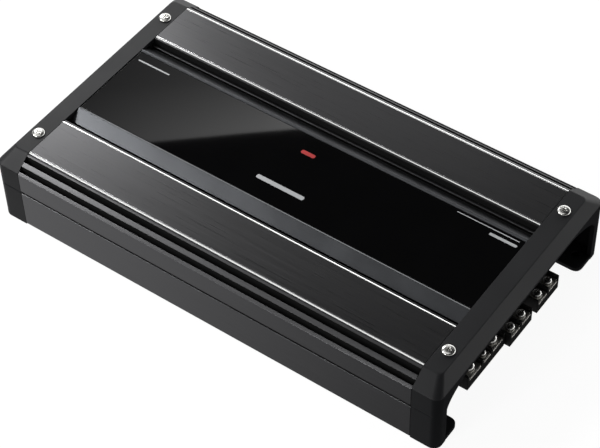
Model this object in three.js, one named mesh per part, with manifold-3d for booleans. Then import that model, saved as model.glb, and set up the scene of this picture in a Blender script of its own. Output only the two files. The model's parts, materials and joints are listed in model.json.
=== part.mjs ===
// A four-channel car amplifier: an extruded heat sink that is the housing, two brushed top plates,
// a centre trim with a gloss panel, a hooded cap with feet at each end, and the electronics inside.
//
// Millimetres. +X runs along the length towards the output (terminal) end, -Y is the front long
// side, +Z is up, and the origin is the bottom centre, on the surface the feet stand on.

import * as THREE from 'three';
import { mergeVertices } from 'three/addons/utils/BufferGeometryUtils.js';
import { ConvexGeometry } from 'three/addons/geometries/ConvexGeometry.js';
import Module from 'manifold-3d';

const wasm = await Module();
wasm.setup();

// ---------------------------------------------------------------- driving dimensions

const LENGTH = 354;
const DEPTH = 200;
const HEIGHT = 59;
const GAP = 0.3; // between pieces that touch on the real object

const HALF_LENGTH = LENGTH / 2;
const HALF_DEPTH = DEPTH / 2;

// End caps
const CAP_INNER_X = 157; // where a cap starts
const CAP_TOP_X = 170.2; // where the cap's top gives way to its end chamfer
const CAP_WALL = 3;
const CORNER_RADIUS = 6;
const TOP_CORNER_RADIUS = 3.6; // at the top of the chamfer
const CHAMFER_Z = 49.8; // foot of the end chamfer
const ARCH_HALF_WIDTH = 90;
const ARCH_TOP_Z = 48;
const ARCH_SHOULDER_Y = 62; // where the arch's top starts to curve down
const ARCH_SHOULDER_Z = 33;
const ARCH_BEND_Y = 86; // the curve from the arch's top to its legs is drawn towards here
const ARCH_BEND_Z = 43;
const FOOT_INNER_Y = 74.5;
const FOOT_THICKNESS = 3;
const FOOT_CORNER = 6;
const FOOT_HOLE_X = 167.5;
const FOOT_HOLE_Y = 86;
const FOOT_HOLE_RADIUS = 2.7;
const CAP_SCREW_X = 163.4;
const CAP_SCREW_Y = 69.1;
const CAP_GROOVE_DEPTH = 0.5;

// The body's profile
const BODY_HALF = CAP_INNER_X - GAP;
const WALL_BOTTOM_Z = 0.8;
const WALL_INNER_Y = 96.8;
const PLATE_INNER_Y = 50.15; // the brushed top plates
const PLATE_OUTER_Y = 86.85;
const PLATE_THICKNESS = 2.5;
const SHOULDER_Y = 87.3; // the shoulder falls away from here to the side wall
const SHOULDER_STEP = 0.6; // how far the shoulder starts below the top
const SHOULDER_FALL = 9.3;
const SHOULDER_BEND = 1.22;
const INNER_GROOVE = { y0: 89.1, y1: 92.5, floorZ: 46 };
const OUTER_GROOVE = { y0: 95.3, y1: 98.1, floorZ: 44 };
const SIDE_GROOVE_Z = 31;
const SIDE_GROOVE_HEIGHT = 1.8;
const SIDE_GROOVE_DEPTH = 1.2;
const LEDGE_TOP_Z = 10.4; // the board rests on the ledges
const LEDGE_BOTTOM_Z = 3.9;
const LEDGE_INNER_Y = 90;
const CEILING_Z = 46; // under the centre trim
const CEILING_EDGE_Y = 52;
const PLATE_CEILING_Y = 55; // from here the ceiling is higher, under the top plates
const PLATE_CEILING_Z = 50;
const SHOULDER_CEILING_Z = 41;
const LIP_INNER_Y = 97.2; // the wall's lip beside the bottom cover
const RIB_INNER_Y = 84; // inner ribs that the transistors are clamped to
const RIB_OUTER_Y = 88;
const RIB_BOTTOM_Z = 18;
const TRIM_FLOOR_Z = 50.5;
const TRIM_FLOOR_Y = 45;
const SMALL_FIN = { y0: 46, y1: 48.2, topZ: 53.5, footZ: 49.5 };
const PLATE_RIB = { y0: 48.75, topZ: 58.5 }; // the rib along each top plate's inner edge

// The centre trim and its panel
const PANEL_HALF_WIDTH = 33;
const PANEL_TOP_Z = 58.4;
const PANEL_THICKNESS = 1.8;
const RIM_Y = 34.4;
const RIM_TOP_Z = 58.9;
const SLOPE_TOP_Y = 34.9;
const SLOPE_FOOT_Y = 44;
const SLOPE_FOOT_Z = 53.6;

// End panels, board and cover
const END_PANEL_THICKNESS = 1.8;
const END_PANEL_OUTER_X = CAP_INNER_X + END_PANEL_THICKNESS;
const BOARD_BOTTOM_Z = LEDGE_TOP_Z + GAP;
const BOARD_TOP_Z = BOARD_BOTTOM_Z + 1.6;
const PART_FLOOR_Z = BOARD_TOP_Z + GAP; // what stands on the board starts here
const COVER_BOTTOM_Z = 1.9;
const COVER_TOP_Z = 3.4;
const COVER_SCREW_X = 120;
const COVER_SCREW_Y = 93;

// Terminals at the output end
const TERMINAL_FLOOR_Z = 20.6; // where a wire is clamped
const TERMINAL_TOP_Z = 25;
const TERMINAL_BACK_X = 149;
const CLAMP_PLATE_THICKNESS = 1.2;
const SPEAKER_BLOCK = {
  width: 27,
  bottomZ: 12.9,
  frontX: 176,
  pitch: 13,
  bayWidth: 11.3,
  bayBackX: 163.5,
  plateX: 9.2,
  plateY: 10.2,
};
const speakerBlocks = [
  { name: 'speaker_block_front', centreY: 0.2 },
  { name: 'speaker_block_rear', centreY: 33.6 },
];
const POWER_BLOCK = { y0: -57.6, y1: -13.7, bottomZ: 12.4, frontX: 172, bayBackX: 159.9 };
const powerTerminals = [
  { name: 'battery', y: -48.2, bayWidth: 15, plateX: 11, plateY: 13.6, headRadius: 4.2, headHeight: 3.2 },
  { name: 'remote', y: -34.2, bayWidth: 9.4, plateX: 8, plateY: 8, headRadius: 2.7, headHeight: 2.4 },
  { name: 'ground', y: -21.6, bayWidth: 12.8, plateX: 11, plateY: 11.8, headRadius: 4.2, headHeight: 3.2 },
];

// Jacks, controls and fuses at the input end
const JACK = {
  places: [-60, -42],
  width: 15,
  topZ: 42,
  faceX: 160,
  sleeveX: 170,
  heights: [20.5, 34.5],
  sleeveRadius: 4.2,
  boreRadius: 1.7,
  boreBackX: 156,
};
const KNOB = {
  radius: 3.2,
  z: 30,
  innerX: 146,
  outerX: 164,
  slotDepth: 1.2,
  slotWidth: 1,
  places: [
    { name: 'gain_knob_1', y: -24 },
    { name: 'crossover_knob_1', y: -10 },
    { name: 'crossover_knob_2', y: 10 },
    { name: 'gain_knob_2', y: 24 },
  ],
};
const SWITCH = {
  places: [-18.5, 15.5],
  z: 18.5,
  width: 3,
  height: 3.4,
  travel: 3,
  innerX: 150,
  outerX: 161.5,
};
const LAMP = { y: 0, z: 36, radius: 1.5, innerX: 150, outerX: 160.2 };
const CONTROL_BLOCK = { y0: -31, y1: 31, topZ: 40 };
const FUSE_HOLDER = { y0: 42, y1: 68, z0: PART_FLOOR_Z, z1: 36, frontX: 161 };
const FUSE = {
  heights: [19.5, 29],
  bodyY: 19,
  bodyZ: 5,
  bodyX: 157.5,
  outerX: 167,
  pocketX: 157,
  bladeX: 146,
  bladeSpread: 6, // from the middle to each blade
  bladeWidth: 5,
  bladeThickness: 0.8,
};

// Inside the body
const TRANSFORMER = { x: 60, y: -30, outerRadius: 23, innerRadius: 8, height: 20, rounding: 4 };
const CAPACITOR = { radius: 11, height: 30, edge: 0.8, places: [[100, 22], [74, 22]] };
const TRANSISTOR = { places: [-60, -20, 20, 60], width: 16, thickness: 4.6, height: 21, z: 16 };
const CLAMP_BAR = { thickness: 1.5, height: 9, overlap: 6, screwZ: 29 };

// Screws
const CAP_SCREW = { headRadius: 4.4, headHeight: 1.8, shankRadius: 1.8, shankLength: 9 };
const COVER_SCREW = { headRadius: 3.4, headHeight: 1.3, shankRadius: 1.6, shankLength: 7.5 };
const CLAMP_SCREW = { headRadius: 3, headHeight: 1.8, shankRadius: 1.5, shankLength: 9 };
const SPEAKER_SCREW = { headRadius: 3.3, headHeight: 2.6, shankRadius: 1.7, shankLength: 7.5 };
const POWER_SHANK_LENGTH = 7.5;
const HOLE_CLEARANCE = 0.35;
const HEAD_CLEARANCE = 0.05; // under the head of a screw that is done up

const ROUND = 16; // sides of a round piece
const SMALL_ROUND = 10;
const OVER = 1; // how far a cut runs past the face it opens

// ---------------------------------------------------------------- making solids

// The closed solid of a three.js geometry.
function solid(geometry) {
  const bare = new THREE.BufferGeometry();
  bare.setAttribute('position', geometry.getAttribute('position').clone());
  if (geometry.index) {
    bare.setIndex(geometry.index.clone());
  }
  const merged = mergeVertices(bare, 1e-4);
  const mesh = new wasm.Mesh({
    numProp: 3,
    vertProperties: merged.getAttribute('position').array,
    triVerts: new Uint32Array(merged.index.array),
  });
  mesh.merge();
  return new wasm.Manifold(mesh);
}

function box(x0, x1, y0, y1, z0, z1) {
  const geometry = new THREE.BoxGeometry(x1 - x0, y1 - y0, z1 - z0);
  geometry.translate((x0 + x1) / 2, (y0 + y1) / 2, (z0 + z1) / 2);
  return solid(geometry);
}

// A box between two heights whose sides are given as centre and size in plan.
function block(x, y, sizeX, sizeY, z0, z1) {
  return box(x - sizeX / 2, x + sizeX / 2, y - sizeY / 2, y + sizeY / 2, z0, z1);
}

function shapeOf(points) {
  return new THREE.Shape(points.map(([u, v]) => new THREE.Vector2(u, v)));
}

// Extrudes a (y, z) outline from x0 to x1.
function extrudeAlongX(shape, x0, x1, curveSegments = 6) {
  const geometry = new THREE.ExtrudeGeometry(shape, {
    depth: x1 - x0,
    bevelEnabled: false,
    curveSegments,
  });
  const turn = new THREE.Matrix4().makeBasis(
    new THREE.Vector3(0, 1, 0),
    new THREE.Vector3(0, 0, 1),
    new THREE.Vector3(1, 0, 0),
  );
  geometry.applyMatrix4(turn);
  geometry.translate(x0, 0, 0);
  return solid(geometry);
}

// Extrudes an (x, y) outline from z0 to z1.
function extrudeAlongZ(shape, z0, z1, curveSegments = 6) {
  const geometry = new THREE.ExtrudeGeometry(shape, {
    depth: z1 - z0,
    bevelEnabled: false,
    curveSegments,
  });
  geometry.translate(0, 0, z0);
  return solid(geometry);
}

function cylinderZ(x, y, radius, z0, z1, sides = ROUND) {
  const geometry = new THREE.CylinderGeometry(radius, radius, z1 - z0, sides);
  geometry.rotateX(Math.PI / 2);
  geometry.translate(x, y, (z0 + z1) / 2);
  return solid(geometry);
}

function cylinderX(y, z, radius, x0, x1, sides = ROUND) {
  const geometry = new THREE.CylinderGeometry(radius, radius, x1 - x0, sides);
  geometry.rotateZ(Math.PI / 2);
  geometry.translate((x0 + x1) / 2, y, z);
  return solid(geometry);
}

// A clearance hole along Z for a screw, cut from z0 to z1.
function screwHole(x, y, screw, z0, z1) {
  return cylinderZ(x, y, screw.shankRadius + HOLE_CLEARANCE, z0, z1, SMALL_ROUND);
}

// The same hole along Y at a height z.
function screwHoleAlongY(x, y, z, screw) {
  const reach = 8;
  return screwHole(0, 0, screw, -reach, reach)
    .rotate([90, 0, 0])
    .translate([x, y, z]);
}

// Turns an outline of [radius, height] points about the Z axis through (x, y).
function turned(x, y, z, outline, sides = ROUND) {
  const points = outline.map(([radius, height]) => new THREE.Vector2(radius, height));
  const geometry = new THREE.LatheGeometry(points, sides);
  geometry.rotateX(Math.PI / 2);
  geometry.translate(x, y, z);
  return solid(geometry);
}

// The points of a half outline mirrored to the other side, in the reverse order.
function mirrored(half) {
  return half.map(([y, z]) => [-y, z]).reverse();
}

function roundedRectangle(x0, x1, y0, y1, radius) {
  const shape = new THREE.Shape();
  shape.moveTo(x0 + radius, y0);
  shape.lineTo(x1 - radius, y0);
  shape.absarc(x1 - radius, y0 + radius, radius, -Math.PI / 2, 0, false);
  shape.lineTo(x1, y1 - radius);
  shape.absarc(x1 - radius, y1 - radius, radius, 0, Math.PI / 2, false);
  shape.lineTo(x0 + radius, y1);
  shape.absarc(x0 + radius, y1 - radius, radius, Math.PI / 2, Math.PI, false);
  shape.lineTo(x0, y0 + radius);
  shape.absarc(x0 + radius, y0 + radius, radius, Math.PI, Math.PI * 1.5, false);
  return shape;
}

// ---------------------------------------------------------------- the assembly

const amplifier = new THREE.Group();
amplifier.name = 'car_amplifier';

const MATERIALS = {
  brushed: { color: 0x55565a, roughness: 0.35, metalness: 0.9 },
  anodised: { color: 0x3a3b3e, roughness: 0.45, metalness: 0.8 },
  satin: { color: 0x5a5e64, roughness: 0.5, metalness: 0.4 },
  gloss: { color: 0x050506, roughness: 0.05, metalness: 0.0 },
  cap: { color: 0x2a2b2e, roughness: 0.5, metalness: 0.3 },
  steel: { color: 0x1c1c1e, roughness: 0.5, metalness: 0.6 },
  nickel: { color: 0xc8c8c4, roughness: 0.25, metalness: 1.0 },
  blackPlastic: { color: 0x101011, roughness: 0.45, metalness: 0.0 },
  board: { color: 0x1f5a32, roughness: 0.5, metalness: 0.0 },
  copper: { color: 0xb06a38, roughness: 0.35, metalness: 0.9 },
  sleeve: { color: 0x16181c, roughness: 0.4, metalness: 0.0 },
  fuse: { color: 0x2f8f4a, roughness: 0.3, metalness: 0.0 },
  lamp: { color: 0xb02018, roughness: 0.2, metalness: 0.0 },
};

function addPiece(name, body, materialName) {
  const { vertProperties, triVerts } = body.getMesh();
  const geometry = new THREE.BufferGeometry();
  geometry.setAttribute('position', new THREE.BufferAttribute(new Float32Array(vertProperties), 3));
  geometry.setIndex(new THREE.BufferAttribute(new Uint32Array(triVerts), 1));
  geometry.computeVertexNormals();
  const mesh = new THREE.Mesh(geometry, new THREE.MeshStandardMaterial(MATERIALS[materialName]));
  mesh.name = name;
  amplifier.add(mesh);
}

// ---------------------------------------------------------------- screws

// A pan head screw standing on a face at z, its shank going down (or up, when it is turned over).
function panScrew({ x, y, z, headRadius, headHeight, shankRadius, shankLength, up = true }) {
  const outline = [
    [0, -shankLength],
    [shankRadius, -shankLength],
    [shankRadius, 0],
    [headRadius, 0],
    [headRadius, headHeight * 0.45],
    [headRadius * 0.8, headHeight * 0.85],
    [headRadius * 0.45, headHeight],
    [0, headHeight],
  ];
  let screw = turned(0, 0, 0, outline);
  const slotLength = headRadius * 1.15;
  const slotWidth = headRadius * 0.24;
  const slotFloor = headHeight * 0.35;
  const slotTop = headHeight + OVER;
  screw = screw.subtract(block(0, 0, slotLength, slotWidth, slotFloor, slotTop));
  screw = screw.subtract(block(0, 0, slotWidth, slotLength, slotFloor, slotTop));
  if (!up) {
    screw = screw.rotate([180, 0, 0]);
  }
  return screw.translate([x, y, z]);
}

// ---------------------------------------------------------------- heat sink

// How far the shoulder has dropped below the top at a distance y from the centre line.
function shoulderDrop(y) {
  const along = (y - SHOULDER_Y) / (HALF_DEPTH - SHOULDER_Y);
  return SHOULDER_STEP + SHOULDER_FALL * along ** SHOULDER_BEND;
}

function shoulderPoint(y) {
  return [y, HEIGHT - shoulderDrop(y)];
}

// The two sides and the floor of a groove in the shoulder, from its outer side to its inner one.
function shoulderGroove({ y0, y1, floorZ }) {
  return [shoulderPoint(y1), [y1, floorZ], [y0, floorZ], shoulderPoint(y0)];
}

const plateBottomZ = HEIGHT - PLATE_THICKNESS;
const plateBedZ = plateBottomZ - GAP;
const sideGrooveY = HALF_DEPTH - SIDE_GROOVE_DEPTH;
const sideGrooveTopZ = SIDE_GROOVE_Z + SIDE_GROOVE_HEIGHT;

const heatSinkOutline = [
  [HALF_DEPTH, WALL_BOTTOM_Z],
  [HALF_DEPTH, SIDE_GROOVE_Z],
  [sideGrooveY, SIDE_GROOVE_Z],
  [sideGrooveY, sideGrooveTopZ],
  [HALF_DEPTH, sideGrooveTopZ],
  shoulderPoint(HALF_DEPTH),
  ...shoulderGroove(OUTER_GROOVE),
  ...shoulderGroove(INNER_GROOVE),
  shoulderPoint(SHOULDER_Y),
  // bed of the brushed top plate
  [SHOULDER_Y, plateBedZ],
  [PLATE_INNER_Y - GAP, plateBedZ],
  [PLATE_INNER_Y - GAP, PLATE_RIB.topZ],
  [PLATE_RIB.y0, PLATE_RIB.topZ],
  // small fin beside the centre trim
  [PLATE_RIB.y0, SMALL_FIN.footZ],
  [SMALL_FIN.y1, SMALL_FIN.footZ],
  [SMALL_FIN.y1, SMALL_FIN.topZ],
  [SMALL_FIN.y0, SMALL_FIN.topZ],
  [SMALL_FIN.y0, SMALL_FIN.footZ],
  [TRIM_FLOOR_Y, TRIM_FLOOR_Z],
];

const heatSinkInside = [
  [CEILING_EDGE_Y, CEILING_Z],
  [PLATE_CEILING_Y, PLATE_CEILING_Z],
  [RIB_INNER_Y, PLATE_CEILING_Z],
  [RIB_INNER_Y, RIB_BOTTOM_Z],
  [RIB_OUTER_Y, RIB_BOTTOM_Z],
  [RIB_OUTER_Y, SHOULDER_CEILING_Z],
  [WALL_INNER_Y, SHOULDER_CEILING_Z],
  [WALL_INNER_Y, LEDGE_TOP_Z],
  [LEDGE_INNER_Y, LEDGE_TOP_Z],
  [LEDGE_INNER_Y, LEDGE_BOTTOM_Z],
  [LIP_INNER_Y, LEDGE_BOTTOM_Z],
  [LIP_INNER_Y, WALL_BOTTOM_Z],
];

// The transistors stand in two rows, the first and every other one at the front.
const transistorRows = [
  { name: 'front', side: -1, places: TRANSISTOR.places.filter((x, index) => index % 2 === 0) },
  { name: 'rear', side: 1, places: TRANSISTOR.places.filter((x, index) => index % 2 === 1) },
];

function middle(places) {
  return (Math.min(...places) + Math.max(...places)) / 2;
}

function coverScrewPlaces() {
  const places = [];
  for (const x of [-COVER_SCREW_X, COVER_SCREW_X]) {
    for (const y of [-COVER_SCREW_Y, COVER_SCREW_Y]) {
      places.push([x, y]);
    }
  }
  return places;
}

function buildHeatSink() {
  const outline = shapeOf([
    ...heatSinkOutline,
    ...mirrored(heatSinkOutline),
    ...mirrored(heatSinkInside),
    ...heatSinkInside,
  ]);
  let body = extrudeAlongX(outline, -BODY_HALF, BODY_HALF);
  for (const [x, y] of coverScrewPlaces()) {
    body = body.subtract(screwHole(x, y, COVER_SCREW, LEDGE_BOTTOM_Z - OVER, LEDGE_TOP_Z + OVER));
  }
  for (const { side, places } of transistorRows) {
    const hole = screwHoleAlongY(middle(places), side * RIB_INNER_Y, CLAMP_BAR.screwZ, CLAMP_SCREW);
    body = body.subtract(hole);
  }
  return body;
}

addPiece('heat_sink', buildHeatSink(), 'anodised');

// ---------------------------------------------------------------- top plates, trim and panel

// A brushed plate with a polished bevel along both long edges.
function buildTopPlate() {
  const bevelWidth = 1.9;
  const bevelDrop = 0.35;
  const outline = [
    [PLATE_INNER_Y, plateBottomZ],
    [PLATE_OUTER_Y, plateBottomZ],
    [PLATE_OUTER_Y, HEIGHT - bevelDrop],
    [PLATE_OUTER_Y - bevelWidth, HEIGHT],
    [PLATE_INNER_Y + bevelWidth, HEIGHT],
    [PLATE_INNER_Y, HEIGHT - bevelDrop],
  ];
  return extrudeAlongX(shapeOf(outline), -BODY_HALF, BODY_HALF);
}

addPiece('top_plate_rear', buildTopPlate(), 'brushed');
addPiece('top_plate_front', buildTopPlate().mirror([0, 1, 0]), 'brushed');

function buildCentreTrim() {
  const pocketY = PANEL_HALF_WIDTH + GAP;
  const half = [
    [SLOPE_FOOT_Y, TRIM_FLOOR_Z + GAP],
    [SLOPE_FOOT_Y, SLOPE_FOOT_Z],
    [SLOPE_TOP_Y, RIM_TOP_Z],
    [RIM_Y, RIM_TOP_Z],
    [pocketY, PANEL_TOP_Z],
    [pocketY, PANEL_TOP_Z - PANEL_THICKNESS - GAP],
  ];
  return extrudeAlongX(shapeOf([...half, ...mirrored(half)]), -BODY_HALF, BODY_HALF);
}

addPiece('centre_trim', buildCentreTrim(), 'satin');

const panelBottomZ = PANEL_TOP_Z - PANEL_THICKNESS;
const panel = box(-BODY_HALF, BODY_HALF, -PANEL_HALF_WIDTH, PANEL_HALF_WIDTH, panelBottomZ, PANEL_TOP_Z);
addPiece('gloss_panel', panel, 'gloss');

// ---------------------------------------------------------------- bottom cover and board

function buildBottomCover() {
  let cover = box(-BODY_HALF, BODY_HALF, -WALL_INNER_Y, WALL_INNER_Y, COVER_BOTTOM_Z, COVER_TOP_Z);
  for (const [x, y] of coverScrewPlaces()) {
    cover = cover.subtract(screwHole(x, y, COVER_SCREW, COVER_BOTTOM_Z - OVER, COVER_TOP_Z + OVER));
  }
  return cover;
}

addPiece('bottom_cover', buildBottomCover(), 'steel');

coverScrewPlaces().forEach(([x, y], index) => {
  const screw = panScrew({ x, y, z: COVER_BOTTOM_Z - HEAD_CLEARANCE, ...COVER_SCREW, up: false });
  addPiece(`cover_screw_${index + 1}`, screw, 'nickel');
});

function buildBoard() {
  const halfLength = 155;
  const edgeY = WALL_INNER_Y - 0.5;
  const holeRadius = 2.6;
  let board = box(-halfLength, halfLength, -edgeY, edgeY, BOARD_BOTTOM_Z, BOARD_TOP_Z);
  for (const [x, y] of coverScrewPlaces()) {
    board = board.subtract(
      cylinderZ(x, y, holeRadius, BOARD_BOTTOM_Z - OVER, BOARD_TOP_Z + OVER, SMALL_ROUND),
    );
  }
  return board;
}

addPiece('circuit_board', buildBoard(), 'board');

// ---------------------------------------------------------------- end caps

// A rounded rectangle of points at one height of the hood, covering both ends of the amplifier.
function hoodRing(halfX, halfY, z, radius, steps = 6) {
  const ring = [];
  for (const [signX, signY] of [[1, 1], [-1, 1], [-1, -1], [1, -1]]) {
    for (let step = 0; step <= steps; step += 1) {
      const angle = (Math.PI / 2) * (step / steps);
      const x = signX * (halfX - radius + radius * Math.cos(angle));
      const y = signY * (halfY - radius + radius * Math.sin(angle));
      ring.push(new THREE.Vector3(x, y, z));
    }
  }
  return ring;
}

// The hood's form, shrunk inwards by a wall's thickness for the space inside it. Its end chamfer and
// its shoulders are steep, so their own insets in plan and in height are parts of the wall's.
function hoodForm(inset, bottomZ) {
  const chamferRun = HALF_LENGTH - CAP_TOP_X;
  const endInset = inset * 0.6;
  const shoulderInset = inset * 0.4;
  const halfX = HALF_LENGTH - inset;
  const halfY = HALF_DEPTH - inset;
  const rings = [
    hoodRing(halfX, halfY, bottomZ, CORNER_RADIUS - inset),
    hoodRing(halfX, halfY, CHAMFER_Z - shoulderInset, CORNER_RADIUS - inset),
  ];
  for (const part of [0.35, 0.7, 1]) {
    const x = HALF_LENGTH - part * chamferRun - endInset;
    const y = HALF_DEPTH - part * (HALF_DEPTH - SHOULDER_Y) - shoulderInset;
    const z = CHAMFER_Z + part * (HEIGHT - CHAMFER_Z) - inset;
    const radius = CORNER_RADIUS + part * (TOP_CORNER_RADIUS - CORNER_RADIUS) - inset;
    rings.push(hoodRing(x, y, z, radius));
  }
  return solid(new ConvexGeometry(rings.flat()));
}

// The opening that the end wall leaves between its two legs.
function buildArch() {
  const shape = new THREE.Shape();
  shape.moveTo(-ARCH_HALF_WIDTH, FOOT_THICKNESS);
  shape.lineTo(ARCH_HALF_WIDTH, FOOT_THICKNESS);
  shape.lineTo(ARCH_HALF_WIDTH, ARCH_SHOULDER_Z);
  shape.quadraticCurveTo(ARCH_BEND_Y, ARCH_BEND_Z, ARCH_SHOULDER_Y, ARCH_TOP_Z);
  shape.lineTo(-ARCH_SHOULDER_Y, ARCH_TOP_Z);
  shape.quadraticCurveTo(-ARCH_BEND_Y, ARCH_BEND_Z, -ARCH_HALF_WIDTH, ARCH_SHOULDER_Z);
  return extrudeAlongX(shape, HALF_LENGTH - CORNER_RADIUS, HALF_LENGTH + OVER, 8);
}

// The rear foot of a cap, a plate that reaches under the hood's wall; the hood's form trims it.
function buildFoot() {
  const reach = 8;
  const plate = roundedRectangle(
    CAP_INNER_X - reach, HALF_LENGTH, FOOT_INNER_Y, HALF_DEPTH + reach, FOOT_CORNER,
  );
  return extrudeAlongZ(plate, 0, FOOT_THICKNESS);
}

// What is cut from the rear half of a cap once the foot is on it: the foot's hole, the cap screw's
// hole and the line along the side that carries on the body's groove.
function buildCapCuts() {
  const footHole = cylinderZ(
    FOOT_HOLE_X, FOOT_HOLE_Y, FOOT_HOLE_RADIUS, -OVER, FOOT_THICKNESS + OVER,
  );
  const topHole = screwHole(
    CAP_SCREW_X, CAP_SCREW_Y, CAP_SCREW, HEIGHT - 2 * CAP_WALL, HEIGHT + OVER,
  );
  const groove = box(
    CAP_INNER_X - OVER, HALF_LENGTH - CORNER_RADIUS,
    HALF_DEPTH - CAP_GROOVE_DEPTH, HALF_DEPTH + OVER,
    SIDE_GROOVE_Z + GAP, SIDE_GROOVE_Z + SIDE_GROOVE_HEIGHT - GAP,
  );
  return footHole.add(topHole).add(groove);
}

function buildCap() {
  const far = HALF_LENGTH + OVER;
  const wide = HALF_DEPTH + OVER;
  const keep = box(CAP_INNER_X, far, -wide, wide, -OVER, HEIGHT + OVER);
  const outer = hoodForm(0, 0);
  let cap = outer.intersect(keep);
  cap = cap.subtract(hoodForm(CAP_WALL, -OVER));
  cap = cap.subtract(buildArch());
  // the end wall is open down to the floor too, between the feet
  cap = cap.subtract(box(
    HALF_LENGTH - CORNER_RADIUS, far, -ARCH_HALF_WIDTH, ARCH_HALF_WIDTH, -OVER, FOOT_THICKNESS + OVER,
  ));
  const foot = buildFoot().intersect(outer).intersect(keep);
  const cuts = buildCapCuts();
  cap = cap.add(foot).add(foot.mirror([0, 1, 0]));
  return cap.subtract(cuts).subtract(cuts.mirror([0, 1, 0]));
}

const outputCap = buildCap();
addPiece('output_end_cap', outputCap, 'cap');
addPiece('input_end_cap', outputCap.mirror([1, 0, 0]), 'cap');

const capScrewPlaces = [
  [-CAP_SCREW_X, -CAP_SCREW_Y],
  [-CAP_SCREW_X, CAP_SCREW_Y],
  [CAP_SCREW_X, -CAP_SCREW_Y],
  [CAP_SCREW_X, CAP_SCREW_Y],
];
capScrewPlaces.forEach(([x, y], index) => {
  const screw = panScrew({ x, y, z: HEIGHT + HEAD_CLEARANCE, ...CAP_SCREW });
  addPiece(`cap_screw_${index + 1}`, screw, 'nickel');
});

// ---------------------------------------------------------------- terminals

const clampBottomZ = TERMINAL_FLOOR_Z + GAP;
const clampTopZ = clampBottomZ + CLAMP_PLATE_THICKNESS;
const terminalScrewZ = clampTopZ + GAP;

// A terminal: a bay open at the top and the front, a clamp plate in it and the screw that lifts it.
// It returns what the block is cut by.
function addTerminal({ label, y, bayWidth, backX, frontX, plateX, plateY, screw }) {
  const centreX = frontX - GAP - plateX / 2;
  const plate = block(centreX, y, plateX, plateY, clampBottomZ, clampTopZ)
    .subtract(screwHole(centreX, y, screw, clampBottomZ - OVER, clampTopZ + OVER));
  addPiece(`${label}_clamp`, plate, 'nickel');
  addPiece(`${label}_screw`, panScrew({ x: centreX, y, z: terminalScrewZ, ...screw }), 'nickel');
  const y0 = y - bayWidth / 2;
  const y1 = y + bayWidth / 2;
  const bay = box(backX, frontX + OVER, y0, y1, TERMINAL_FLOOR_Z, TERMINAL_TOP_Z + OVER);
  const holeBottomZ = terminalScrewZ - screw.shankLength - GAP;
  return bay.add(screwHole(centreX, y, screw, holeBottomZ, TERMINAL_FLOOR_Z + OVER));
}

// A block with two speaker terminals, numbered from firstNumber.
function addSpeakerBlock(name, centreY, firstNumber) {
  const { width, frontX, bottomZ, pitch, bayWidth, bayBackX, plateX, plateY } = SPEAKER_BLOCK;
  const y0 = centreY - width / 2;
  const y1 = centreY + width / 2;
  let body = box(TERMINAL_BACK_X, frontX, y0, y1, bottomZ, TERMINAL_TOP_Z);
  for (const step of [0, 1]) {
    body = body.subtract(addTerminal({
      label: `speaker_${firstNumber + step}`,
      y: centreY + (step - 0.5) * pitch,
      bayWidth,
      backX: bayBackX,
      frontX,
      plateX,
      plateY,
      screw: SPEAKER_SCREW,
    }));
  }
  addPiece(name, body, 'blackPlastic');
}

speakerBlocks.forEach(({ name, centreY }, index) => addSpeakerBlock(name, centreY, 1 + 2 * index));

function addPowerBlock() {
  const { y0, y1, frontX, bayBackX, bottomZ } = POWER_BLOCK;
  let body = box(TERMINAL_BACK_X, frontX, y0, y1, bottomZ, TERMINAL_TOP_Z);
  for (const { name, y, bayWidth, plateX, plateY, headRadius, headHeight } of powerTerminals) {
    const shankRadius = headRadius * 0.5;
    const screw = { headRadius, headHeight, shankRadius, shankLength: POWER_SHANK_LENGTH };
    body = body.subtract(addTerminal({
      label: name, y, bayWidth, backX: bayBackX, frontX, plateX, plateY, screw,
    }));
  }
  addPiece('power_block', body, 'blackPlastic');
}

addPowerBlock();

// ---------------------------------------------------------------- input end: jacks, controls, fuses

// These pieces are written for the output end and mirrored to the input end.
function atInputEnd(body) {
  return body.mirror([1, 0, 0]);
}

const BLOCK_INNER_X = 141; // how far in the blocks behind the end panel reach

function buildJackBlock(y) {
  const { width, topZ, faceX, sleeveX, heights, sleeveRadius, boreRadius, boreBackX } = JACK;
  let body = box(BLOCK_INNER_X, faceX, y - width / 2, y + width / 2, PART_FLOOR_Z, topZ);
  for (const z of heights) {
    body = body.add(cylinderX(y, z, sleeveRadius, faceX - OVER, sleeveX));
    body = body.subtract(cylinderX(y, z, boreRadius, boreBackX, sleeveX + OVER, SMALL_ROUND));
  }
  return body;
}

for (const [index, y] of JACK.places.entries()) {
  addPiece(`rca_block_${index + 1}`, atInputEnd(buildJackBlock(y)), 'blackPlastic');
}

// A round control with a screwdriver slot across its end, turning in the block behind it.
function buildKnob(y) {
  const { radius, z, innerX, outerX, slotDepth, slotWidth } = KNOB;
  const knob = cylinderX(y, z, radius, innerX, outerX);
  const reach = radius + OVER;
  const half = slotWidth / 2;
  return knob.subtract(box(outerX - slotDepth, outerX + OVER, y - half, y + half, z - reach, z + reach));
}

for (const { name, y } of KNOB.places) {
  addPiece(name, atInputEnd(buildKnob(y)), 'blackPlastic');
}

// What a slide switch's button takes up from y0 to y1, widened by a gap round it.
function switchBox(x0, x1, y0, y1, gap) {
  const half = SWITCH.height / 2 + gap;
  return box(x0, x1, y0 - gap, y1 + gap, SWITCH.z - half, SWITCH.z + half);
}

// A slide switch's button, a square nib that comes out through the end panel.
function buildSwitch(y) {
  const half = SWITCH.width / 2;
  return switchBox(SWITCH.innerX, SWITCH.outerX, y - half, y + half, 0);
}

// The slot that the button travels along, from its rest place to its other place.
function switchSlot(y, x0, x1) {
  const half = SWITCH.width / 2;
  return switchBox(x0, x1, y - half, y + half + SWITCH.travel, GAP);
}

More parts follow.
